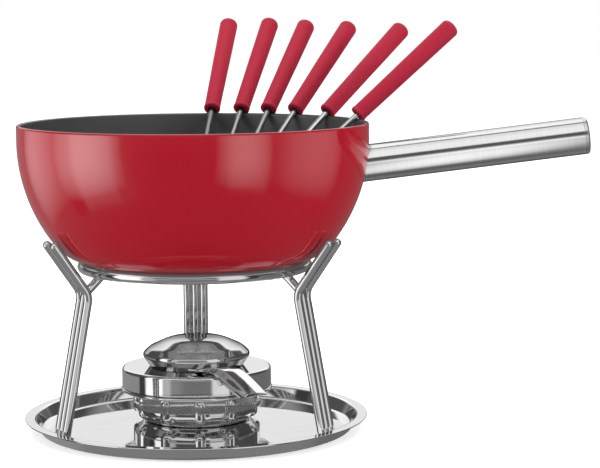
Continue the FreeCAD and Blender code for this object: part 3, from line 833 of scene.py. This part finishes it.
handle_dir = np.array([math.cos(HANDLE_TILT), 0, math.sin(HANDLE_TILT)])
handle_place = axes(np.cross((0, 1, 0), handle_dir), (0, 1, 0), handle_dir,
                    np.array([HANDLE_X, 0, HANDLE_Z]) - handle_dir * HANDLE_BURIED)


def outside_pot(point):
    r, z = math.hypot(point[0], point[1]), point[2]
    edge = POT_R
    if z < ARC_Z:
        edge = POT_R - ARC_R + math.sqrt(ARC_R ** 2 - (z - ARC_Z) ** 2)
    return r > edge + 0.05


def leaves_pot(x, y):
    """How far along the handle the line at (x, y) comes out of the pot."""
    def outside(z):
        return outside_pot(handle_place[:3, :3] @ np.array([x, y, z]) + handle_place[:3, 3])

    return bisect(outside, -5.0, 60.0, rounds=40)


tube_profile = fillet([(TUBE_INNER_R, 0), (TUBE_R, 0), (TUBE_R, TUBE_END),
                       (TUBE_INNER_R, TUBE_END)], [0, 0, 0.12, 0.1])
tube_sides = [(TUBE_R, z) for z in np.linspace(24.0, TUBE_END - 3, 22)]
tube = lathe(np.vstack([tube_profile[:2], tube_sides, tube_profile[2:]]), 128)
# the tube's start is cut to the curve of the pot
for i, (x, y, z) in enumerate(tube.verts):
    if z < 1e-6:
        r = math.hypot(x, y)
        facing = 1.0 if r > (TUBE_R + TUBE_INNER_R) / 2 else -1.0
        tube.verts[i][2] = leaves_pot(x, y)
        tube.normals[i] = (facing * x / r, facing * y / r, 0)
tube.own = tube.verts.copy()
make("grip_tube", tube.moved(handle_place), [TUBE_STEEL], "pot", "handle_tube")

PLUG_R = TUBE_INNER_R - 0.05         # the part of the end cap inside the tube
cap_profile = fillet([(0.0, HANDLE_LENGTH), (TUBE_R, HANDLE_LENGTH), (TUBE_R, TUBE_END + 0.02),
                      (PLUG_R, TUBE_END + 0.02), (PLUG_R, TUBE_END - 9.0),
                      (3.0, TUBE_END - 9.0), (3.0, TUBE_END), (0.0, TUBE_END)],
                     [0, 2.6, 0.12, 0.1, 0.5, 0.2, 0.1, 0], closed=False, step=5)
make("grip_end", lathe(dense(cap_profile, 2.5, False), 128).moved(handle_place), [CAP_STEEL],
     "pot", "handle_end_cap")

# ------------------------------------------------------------------ burner
BURNER_X, BURNER_Y = -1.0, 26.0
BURNER_SHEET = 0.8
burner_place = turned(0, BURNER_X, BURNER_Y)

# (r, z): outside of the bowl from the axis up, the bead at its rim, and back down inside
BOWL_OUTSIDE = [(0.0, 1.0), (37.18, 1.0), (43.9, 8.44), (43.9, 22.0), (51.75, 22.0)]
BOWL_INSIDE = [(50.58, 22.8), (43.1, 22.8), (43.1, 8.75), (36.82, 1.8), (0.0, 1.8)]
BEAD = dict(r=51.75, z=23.25, radius=1.25, start=-90, stop=201.1, step=12)
# upright pill-shaped flutes that swell out of the bowl's side
FLUTES, FIRST_FLUTE = 11, math.radians(-84.7)
FLUTE_R, FLUTE_AXIS_R = 3.9, 41.25
FLUTE_LOW, FLUTE_HIGH = 8.4, 17.1    # centres of the round ends
FLUTE_SOFT = 0.35                    # how softly a flute leaves the wall


def flute(shape):
    """Pushes the bowl's outer side out to the flutes."""
    x, y, z = shape.verts.T
    r = np.hypot(x, y)
    spacing = 2 * math.pi / FLUTES
    away = (np.arctan2(y, x) - FIRST_FLUTE + spacing / 2) % spacing - spacing / 2
    beyond = np.maximum(0, np.maximum(FLUTE_LOW - z, z - FLUTE_HIGH))
    reach = FLUTE_R ** 2 - beyond ** 2 - (FLUTE_AXIS_R * np.sin(away)) ** 2
    swell = FLUTE_AXIS_R * np.cos(away) + np.sqrt(np.maximum(reach, 0))
    swell = np.where(reach > 0, swell, 0)
    target = np.where(swell > 0, swell, r - 3.0)
    weight = np.clip(0.5 + 0.5 * (target - r) / FLUTE_SOFT, 0, 1)
    blended = r * (1 - weight) + target * weight + FLUTE_SOFT * weight * (1 - weight)
    faces_out = shape.normals[:, 0] * x + shape.normals[:, 1] * y > 0.05
    on_side = faces_out & (r > 38.0) & (r < 45.0) & (z < 21.4) & (z > 2.5)
    fluted = np.where(on_side & (swell > r - 2.0), np.maximum(blended, r), r)
    scale = np.where(r > 1e-6, fluted / np.maximum(r, 1e-6), 1)
    shape.verts[:, :2] *= scale[:, None]
    shape.own = shape.verts.copy()


bowl_outside = fillet(BOWL_OUTSIDE, [0, 4.9, 6.4, 0.8, 0], closed=False, step=6)
bowl_inside = fillet(BOWL_INSIDE, [0, 1.6, 5.6, 4.1, 0], closed=False, step=8)
bowl = lathe(np.vstack([dense(bowl_outside, 0.7, False), arc(**BEAD)[1:], bowl_inside[1:]]), 396)
flute(bowl)
make("burner_fluted_bowl", bowl.moved(burner_place), [BURNER_STEEL],
     "burner_base", "burner_bowl", sharp=50)

HOUSING_PATH = [(52.0, 24.92), (52.0, 38.4), (30.6, 38.4)]             # (r, z)
housing_profile = sheet(HOUSING_PATH, radii=[2.0], thickness=BURNER_SHEET, step=6)
make("burner_shell", lathe(dense(housing_profile, 3.0, True), 256).moved(burner_place),
     [BURNER_STEEL], "burner_top", "burner_housing")

LID_PATH = [(0.0, 59.8), (18.0, 58.9), (32.8, 52.2), (37.9, 47.3), (32.2, 39.09)]      # (r, z)
lid_profile = sheet(LID_PATH, radii=[33.0, 13.0, 2.5], thickness=BURNER_SHEET, step=2.0)
make("lid_dome", lathe(dense(lid_profile, 2.0, False), 256).moved(burner_place), [LID_STEEL],
     "lid", "snuffer_lid")

# ------------------------------------------------------------------ lid lever
# A folded strip that runs out from the lid along its own +X, with Y across it.
LEVER_AZIMUTH = -57.2
LEVER_T, LEVER_EDGE, LEVER_ROOT_R = 0.9, 0.30, 33.9
LEVER_X = np.array([24.0, 34.5, 43.5, 51.0, 59.0, 67.5, 76.0])         # one per station
# top surface at the first two stations: five (y, z) points across
LEVER_FLAT = [
    [(-22.4, 41.6), (-19.0, 41.3), (-13.0, 41.4), (-5.6, 41.6), (3.6, 41.6)],
    [(-18.9, 41.8), (-16.6, 41.3), (-12.4, 42.3), (-5.0, 42.8), (4.2, 42.2)],
]
# the other stations: (y, z) of the -Y edge and of the fold next to it, the ridge's z, and
# (y, z) of the +Y edge
LEVER_FOLDED = [
    ((-16.3, 41.8), (-14.2, 41.3), 43.85, (4.9, 42.9)),
    ((-15.7, 41.2), (-13.4, 40.7), 43.65, (6.4, 41.9)),
    ((-14.8, 37.3), (-12.0, 37.0), 40.35, (7.9, 38.4)),
    ((-12.7, 32.7), (-9.4, 32.6), 35.55, (9.3, 33.8)),
    ((-10.4, 28.7), (-7.0, 28.6), 30.35, (10.6, 29.0)),
]


def folded_station(low_edge, fold, ridge_z, high_edge):
    """The side by the fold is narrow, then comes the broad face with a faint crease."""
    width = high_edge[0] - fold[0]
    ridge, crease = fold[0] + 0.15 * width, fold[0] + 0.56 * width
    share = (crease - ridge) / (high_edge[0] - ridge)
    crease_z = ridge_z + (high_edge[1] - ridge_z) * share + 0.35
    return [low_edge, fold, (ridge, ridge_z), (crease, crease_z), high_edge]


LEVER_STATIONS = np.array(LEVER_FLAT + [folded_station(*row) for row in LEVER_FOLDED])


def spline(points, t):
    """Catmull-Rom through points at parameter t in 0..len-1."""
    count = len(points)
    i = min(int(t), count - 2)
    f = t - i
    p0 = points[i - 1] if i > 0 else 2 * points[0] - points[1]
    p1, p2 = points[i], points[i + 1]
    p3 = points[i + 2] if i + 2 < count else 2 * points[-1] - points[-2]
    return 0.5 * (2 * p1 + (p2 - p0) * f + (2 * p0 - 5 * p1 + 4 * p2 - p3) * f * f
                  + (3 * p1 - p0 - 3 * p2 + p3) * f ** 3)


def folded(station, a):
    """(y, z) at a in 0..4 across: flat faces, with the folds between them rounded a little."""
    reach = min(0.16, a, 4 - a)
    places = a + reach * np.array([-1, -0.5, 0, 0.5, 1])
    weights = np.array([1, 2, 2, 2, 1]) / 8
    return [weights @ np.interp(places, range(5), column) for column in station.T]


def lever_at(t, a):
    """Top surface of the lever: t runs along it from station to station, a across it."""
    return np.array([spline(LEVER_X, t), *folded(spline(LEVER_STATIONS, t), a)])


def lever_root(a):
    """Where a line along the lever meets the side of the lid."""
    return bisect(lambda t: math.hypot(*lever_at(t, a)[:2]) >= LEVER_ROOT_R, 0.0, 3.0, rounds=24)


def rounded_edge(top, bottom, inner, angles):
    """Points round an edge between its top and bottom. inner is the next point in from top."""
    outward, middle = unit(top - inner), (top + bottom) / 2
    return [middle + outward * LEVER_EDGE * math.sin(a)
            + np.array([0, 0, LEVER_T / 2 * math.cos(a)]) for a in np.radians(angles)]


def lever():
    across = np.linspace(0, 4, 41)
    roots = [lever_root(a) for a in across]
    last_station = len(LEVER_X) - 1
    loops = []
    for f in np.linspace(0, 1, 46):
        top = [lever_at(t + (last_station - t) * f, a) for a, t in zip(across, roots)]
        bottom = [point - np.array([0, 0, LEVER_T]) for point in top]
        loops.append(top + rounded_edge(top[-1], bottom[-1], top[-2], (45, 90, 135))
                     + bottom[::-1] + rounded_edge(top[0], bottom[0], top[1], (135, 90, 45)))
    # round over the free end
    last = np.array(loops[-1])
    onward = unit((last - np.array(loops[-2])).mean(0))
    half = len(across)
    top_ids, bottom_ids = np.arange(half), np.arange(half + 3, 2 * half + 3)[::-1]
    middle = (last[top_ids] + last[bottom_ids]) / 2
    for a in np.radians((35, 65, 90)):
        loop = last.copy()
        for ids in (top_ids, bottom_ids):
            loop[ids] += (middle - last[ids]) * (1 - math.cos(a)) * 0.8
        loops.append(list(loop + onward * LEVER_EDGE * math.sin(a)))
    return loft(loops)


make("lid_pressed_lever", lever().moved(turned(LEVER_AZIMUTH, BURNER_X, BURNER_Y)),
     [LEVER_STEEL], "lid", "lid_lever", sharp=38)

# ------------------------------------------------------------------ forks
# A fork lies along its own Z: the grip from z = 0 up, the shaft down to the tips.
SHAFT_R = 2.0
GRIP_LENGTH, GRIP_LOW_R, GRIP_HIGH_R = 94.5, 5.75, 6.65
GRIP_DOME_R, GRIP_SHOULDER_R = 11.0, 3.4
GRIP_START = 2.1                     # from where the fork crosses the lip
BORE_R, BORE_END = SHAFT_R + 0.03, 62.1
SHAFT_TOP = 62.0
TIP_Z = 123.0
TINES = 30.0                         # length below the split
TINE_X, SPLIT_X = 3.1, 0.55          # tine centres from the middle, spread and at the split
# degrees from +Y towards +X where the fork crosses the lip, then x and y of its tips
FORKS = [(3.75, -8.32, 18.52), (14.47, -0.92, 19.21), (24.84, 6.73, 11.92), (35.9, 6.9, 7.81),
         (51.41, 5.52, 3.63), (73.16, 12.69, 5.38)]
# mouth of the grip: r from the shaft's surface, z
GRIP_MOUTH = [(0.03, 1.0), (0.03, 0.55), (0.5, 0.42), (1.0, 0.14), (1.5, 0.02)]
# lip round the mouth: r from GRIP_LOW_R, z
GRIP_LIP = [(-0.9, 0.0), (-0.35, 0.10), (0.05, 0.45), (0.25, 0.9), (0.3, 1.4), (0.27, 1.9),
            (0.2, 2.4), (0.08, 2.9), (0, 3.4), (0, 3.9)]


def fork_axis(azimuth, tip_x, tip_y):
    """Point where the fork rests over the lip, its direction from tips to grip, its tips."""
    a = math.radians(azimuth)
    lip_r = POT_R - LIP_R
    lip = np.array([lip_r * math.sin(a), lip_r * math.cos(a), LIP_Z])
    tangent = np.array([math.cos(a), -math.sin(a), 0.0])
    tips = np.array([tip_x, tip_y, TIP_Z])
    rest = lip + np.array([0, 0, 4.0])
    for _ in range(12):
        lift = unit(np.cross(tangent, unit(rest - tips)))
        rest = lip + lift * (LIP_R + SHAFT_R + 0.06)
    return rest, unit(rest - tips), tips


def fork_grip():
    """Bore, mouth, tapered body, shoulder and domed end."""
    turn = math.asin((GRIP_HIGH_R - GRIP_SHOULDER_R) / (GRIP_DOME_R - GRIP_SHOULDER_R))
    dome_z = GRIP_LENGTH - GRIP_DOME_R
    shoulder_z = dome_z + (GRIP_DOME_R - GRIP_SHOULDER_R) * math.cos(turn)
    meet = 90 - math.degrees(turn)
    (_, taper_z), (_, body_z) = GRIP_LIP[-2:]
    profile = [(0.0, BORE_END), (BORE_R, BORE_END)]
    profile += [(SHAFT_R + r, z) for r, z in GRIP_MOUTH]
    profile += [(GRIP_LOW_R + r, z) for r, z in GRIP_LIP]
    for i in range(1, 24):
        z = body_z + (shoulder_z - body_z) * i / 24
        share = (z - taper_z) / (shoulder_z - taper_z)
        profile.append((GRIP_LOW_R + (GRIP_HIGH_R - GRIP_LOW_R) * share, z))
    profile += arc(GRIP_HIGH_R - GRIP_SHOULDER_R, shoulder_z, GRIP_SHOULDER_R, 0, meet, 5)
    profile += arc(0, dome_z, GRIP_DOME_R, meet, 90, 2.5)[1:]
    # slot 1, the bore and the face round the shaft, takes the painted recess shade
    return lathe(profile, 64, lambda r, z, nr, nz: 1 if r < SHAFT_R + 0.9 and z < 61.0 else 0)


def fork_neck(split):
    """The shaft, which widens and flattens towards the split."""
    heights = [*np.linspace(SHAFT_TOP, split + 12.0, 14), *np.linspace(split + 10.0, split - 2.4, 12)]
    wide, thick = [], []
    for z in heights:
        above = (z - split) / 9.0
        if above > 1:
            wide.append(1.0)
            thick.append(1.0)
        elif above > 0:
            wide.append(1.0 + 0.55 * (1 - above) ** 1.5)
            thick.append(1.0 - 0.30 * (1 - above))
        else:
            wide.append(1.55 - 0.25 * (split - z) / 2.4)
            thick.append(0.70)
    return sweep([(0, 0, z) for z in heights], SHAFT_R, sides=32, end=0.5, wide=wide,
                 thick=thick)


def fork_tine(side, split, tip):
    """A tine that swings out from the split and tapers to a point."""
    path, radii = [], []
    for z in (*np.linspace(split + 4.0, split - 8.0, 14), *np.linspace(split - 9.0, tip + 3.4, 10),
              *np.linspace(tip + 2.9, tip + 0.35, 7)):
        f = min(1.0, max(0.0, (split + 3.0 - z) / 11.0))
        f = f * f * (3 - 2 * f)
        path.append((side * (SPLIT_X + (TINE_X - SPLIT_X) * f), 0, z))
        if z > tip + 3.2:
            radii.append(1.25 - 0.25 * min(1.0, max(0.0, (split - z) / 20.0)))
        else:
            radii.append(0.28 + 0.72 * max(0.0, (z - tip) / 3.2) ** 0.8)
    return sweep(path, radii, sides=24, end=0.2)


grip = fork_grip()
for number, lean in enumerate(FORKS, 1):
    rest, direction, tips = fork_axis(*lean)
    start = rest + direction * GRIP_START
    level = unit(np.cross(direction, (0, 0, 1.0)))
    place = axes(np.cross(level, direction), level, direction, start)
    fork = "fork_%d" % number
    make(fork + "_grip", grip.moved(place), [GRIP_RED, GRIP_RECESS_SHADE], fork, fork + "_handle")
    tip = -np.linalg.norm(start - tips)
    split = tip + TINES
    steel = fork_neck(split) + fork_tine(-1, split, tip) + fork_tine(1, split, tip)
    make(fork + "_steel", steel.moved(place), [SHAFT_STEEL], fork, fork + "_shaft")

# ------------------------------------------------------------------ CAD nodes kept as they are
CAD_MATERIALS = {
    "flame_collar": BURNER_INNER, "housing_skirt": BURNER_INNER, "fuel_cup": PLAIN_STEEL,
    "wick_gauze": PLAIN_STEEL, "wick_pad": FELT, "handle_boss": PLAIN_STEEL,
    "handle_tie_rod": PLAIN_STEEL,
}
for node, material in CAD_MATERIALS.items():
    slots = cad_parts[node].data.materials
    if len(slots) == 0:
        slots.append(material)
    else:
        for i in range(len(slots)):
            slots[i] = material

# ------------------------------------------------------------------ floor
bpy.ops.mesh.primitive_plane_add(size=14.0, location=(0, 0, -0.0004))
floor = bpy.context.object
floor.name = "studio_floor"
floor.data.materials.append(paper())
floor.visible_glossy = False
floor.visible_diffuse = False
floor.visible_shadow = False

# ------------------------------------------------------------------ surroundings
scene = bpy.context.scene
# upright cards in the reflections: azimuth from, to and softness, elevation from, to and
# softness, all in degrees, then brightness
STRIP_CARDS = [
    (-96.0, -84.0, 2.0, -36.0, 40.0, 3.0, 0.05),
    (-82.0, -50.0, 2.5, -34.0, 30.0, 4.0, 1.35),
    (-50.0, -38.0, 4.0, -34.0, 26.0, 4.0, 0.55),
    (26.0, 54.0, 3.0, -30.0, 30.0, 4.0, 0.86),
    (57.0, 68.0, 2.0, -30.0, 30.0, 4.0, 0.05),
]


def studio_world():
    """White to the camera. To all else, a room painted by azimuth (0 in front, positive to
    the right) and elevation. Each patch covers the ones before it."""
    world = bpy.data.worlds.new("studio")
    scene.world = world
    world.use_nodes = True
    g = Graph(world.node_tree)
    g.tree.nodes.clear()
    degrees = 57.29578               # in a radian

    def window(value, lo, hi, soft):
        falling = g.sub(1.0, g.step(value, hi - soft, hi + soft))
        return g.mul(g.step(value, lo - soft, lo + soft), falling)

    def over(base, mask, value):
        """base outside the mask, value inside it."""
        return g.add(g.mul(base, g.sub(1.0, mask)), g.mul(mask, value))

    x, y, z = g.split(g.node("ShaderNodeTexCoord").outputs["Generated"])
    azimuth = g.mul(g.math("ARCTAN2", x, g.mul(y, -1.0)), degrees)
    sine = g.math("MAXIMUM", g.math("MINIMUM", z, 1.0), -1.0)
    elevation = g.mul(g.math("ARCSINE", sine), degrees)
    aside = g.math("ABSOLUTE", azimuth)

    # below: lighter to the left, darker to the right and behind it
    room = g.plus(0.21, g.step(azimuth, lo=20.0, hi=-60.0), by=0.10)
    room = over(room, g.step(azimuth, lo=60.0, hi=110.0), value=0.17)
    ahead = window(azimuth, lo=-20.0, hi=14.0, soft=8.0)
    room = over(room, g.mul(ahead, g.step(elevation, lo=-30.0, hi=-16.0)), value=0.20)
    room = over(room, g.step(elevation, lo=-34.0, hi=-46.0), value=0.24)
    room = over(room, g.step(elevation, lo=-64.0, hi=-84.0), value=0.12)
    # a light band along the horizon in front
    band = window(elevation, lo=-3.0, hi=8.0, soft=2.5)
    room = over(room, g.mul(g.step(aside, lo=70.0, hi=54.0), band), value=0.62)
    # a dark band, then the overhead soft light, brighter in front
    room = over(room, window(elevation, lo=8.0, hi=31.0, soft=3.0), value=0.10)
    overhead = g.plus(0.34, g.step(aside, lo=78.0, hi=50.0), by=0.76)
    room = over(room, g.step(elevation, lo=29.0, hi=36.0), overhead)
    zenith = g.plus(0.42, g.step(aside, lo=104.0, hi=64.0), by=0.53)
    room = over(room, g.step(elevation, lo=62.0, hi=80.0), zenith)
    # white paper behind, dark flags at its sides
    flags = g.mul(window(aside, lo=96.0, hi=140.0, soft=5.0),
                  window(elevation, lo=-2.0, hi=44.0, soft=4.0))
    room = over(room, flags, value=0.09)
    behind = g.mul(g.step(aside, lo=140.0, hi=150.0), g.step(elevation, lo=1.0, hi=4.0))
    room = over(room, behind, value=0.14)
    backdrop = g.plus(0.93, g.step(elevation, lo=12.0, hi=26.0), by=0.35)
    behind = g.mul(g.step(aside, lo=142.0, hi=150.0),
                   window(elevation, lo=8.6, hi=80.0, soft=1.0))
    room = over(room, behind, backdrop)
    for az_lo, az_hi, az_soft, el_lo, el_hi, el_soft, value in STRIP_CARDS:
        strip = g.mul(window(azimuth, az_lo, az_hi, az_soft),
                      window(elevation, el_lo, el_hi, el_soft))
        room = over(room, strip, value)

    mix = g.node("ShaderNodeMixShader")
    g.link(g.node("ShaderNodeLightPath").outputs["Is Camera Ray"], mix.inputs[0])
    for slot, strength in ((1, room), (2, 1.0)):
        background = g.node("ShaderNodeBackground")
        g.put(background.inputs[0], (1.0, 1.0, 1.0))
        g.put(background.inputs[1], strength)
        g.link(background.outputs[0], mix.inputs[slot])
    g.link(mix.outputs[0], g.node("ShaderNodeOutputWorld").inputs[0])


studio_world()

# ------------------------------------------------------------------ lights
# name, place, height of the point on the Z axis it aims at, size, watts
PANELS = [
    ("key_left", (-2.0, -1.2, 1.0), 0.14, (1.4, 1.2), 30.0),
    ("key_right", (2.1, -1.0, 0.9), 0.14, (1.2, 1.0), 32.0),
    ("top", (0.0, 0.2, 2.0), 0.1, (2.2, 2.2), 27.0),
    ("back_left", (-1.2, 1.7, 1.0), 0.14, (1.4, 1.2), 10.0),
    ("back_right", (1.3, 1.6, 1.0), 0.14, (1.4, 1.2), 10.0),
    ("table_bounce", (0.0, -0.75, -0.35), 0.16, (1.8, 1.0), 3.2),
    ("bounce_left", (-1.0, -0.4, -0.25), 0.16, (1.0, 1.0), 6.0),
    ("bounce_right", (1.0, -0.4, -0.25), 0.16, (1.0, 1.0), 6.5),
]
# name, millimetre point it is seen from, azimuth and elevation from there in degrees (azimuth
# as in the room), distance, size, radiance, objects that show it
HANDLE, POT = ["grip_tube", "grip_end"], ["pot_shell"]
CARDS = [
    ("handle_card", (200, -12, 193), 5.0, -30.0, 0.42, (0.30, 0.84), 1.02, HANDLE),
    ("window_left", (-74, -95, 190), -70.0, -6.0, 0.90, (1.00, 0.86), 6.4, POT),
    ("window_right", (35, -114, 190), 36.0, -6.0, 0.90, (0.66, 0.80), 3.7, POT),
    ("window_far_left", (-110, -50, 190), -112.0, -6.0, 0.90, (0.90, 0.86), 2.2, POT),
    ("window_far_right", (90, -80, 190), 84.0, -6.0, 0.90, (1.10, 0.86), 2.0, POT),
]


def panel(name, place, aim, size, power):
    """Soft light panel: it lights matt surfaces, and isn't seen in mirrors or by the camera."""
    light = bpy.data.lights.new(name, "AREA")
    light.shape = "RECTANGLE"
    light.size, light.size_y = size
    light.energy = power
    obj = bpy.data.objects.new(name, light)
    obj.location = place
    obj.rotation_mode = "QUATERNION"
    obj.rotation_quaternion = (Vector(aim) - Vector(place)).to_track_quat("-Z", "Y")
    scene.collection.objects.link(obj)
    obj.visible_camera = False
    obj.visible_glossy = False
    return obj


def fade_to_edges(light):
    """Full strength in the middle of a panel, fading to nothing at its edges."""
    light.use_nodes = True
    g = Graph(light.node_tree)
    emission = [node for node in g.tree.nodes if node.type == "EMISSION"][0]
    u, v, _ = g.split(g.node("ShaderNodeNewGeometry").outputs["Parametric"])
    fade = g.mul(g.mul(u, g.sub(1.0, u)), g.mul(v, g.sub(1.0, v)))
    g.link(g.mul(fade, 16.0), emission.inputs["Strength"])


def card(name, seen_from, azimuth, elevation, distance, size, radiance, receivers):
    """White card seen only as a reflection in the receivers."""
    a, e = math.radians(azimuth), math.radians(elevation)
    aim = Vector(seen_from) / 1000.0
    way = Vector((math.sin(a) * math.cos(e), -math.cos(a) * math.cos(e), math.sin(e)))
    obj = panel(name, aim + way * distance, aim, size, radiance * math.pi * size[0] * size[1])
    obj.visible_glossy = True
    obj.visible_diffuse = False
    fade_to_edges(obj.data)
    group = bpy.data.collections.new(name + "_receivers")
    for receiver in receivers:
        group.objects.link(bpy.data.objects[receiver])
    obj.light_linking.receiver_collection = group


for name, place, aim_z, size, power in PANELS:
    panel(name, place, (0, 0, aim_z), size, power)
for row in CARDS:
    card(*row)

# ------------------------------------------------------------------ camera
CAMERA_PLACE = (0.0731, -1.41525, 0.29702)
PITCH, ROLL, YAW = 0.1148, -0.0065, 0.000496       # radians, pitch is downwards
camera_data = bpy.data.cameras.new("camera")
camera_data.sensor_width = 36.0
camera_data.sensor_fit = "HORIZONTAL"
camera_data.lens = 124.542
camera_data.clip_start, camera_data.clip_end = 0.05, 40.0
camera = bpy.data.objects.new("camera", camera_data)
scene.collection.objects.link(camera)
yawed = Matrix.Rotation(YAW, 3, "Z")
forward = yawed @ Vector((0, math.cos(PITCH), -math.sin(PITCH)))
right = yawed @ Vector((1, 0, 0))
up = yawed @ Vector((0, math.sin(PITCH), math.cos(PITCH)))
pose = Matrix((right * math.cos(ROLL) + up * math.sin(ROLL),
               up * math.cos(ROLL) - right * math.sin(ROLL), -forward)).transposed().to_4x4()
pose.translation = CAMERA_PLACE
camera.matrix_world = pose
scene.camera = camera

# ------------------------------------------------------------------ render settings
scene.view_settings.view_transform = "Standard"
scene.view_settings.look = "None"
scene.view_settings.exposure = 0.0
scene.view_settings.gamma = 1.0
scene.cycles.use_denoising = True
scene.cycles.glossy_bounces = 8
scene.cycles.caustics_reflective = False
scene.cycles.caustics_refractive = False
scene.cycles.sample_clamp_indirect = 6.0
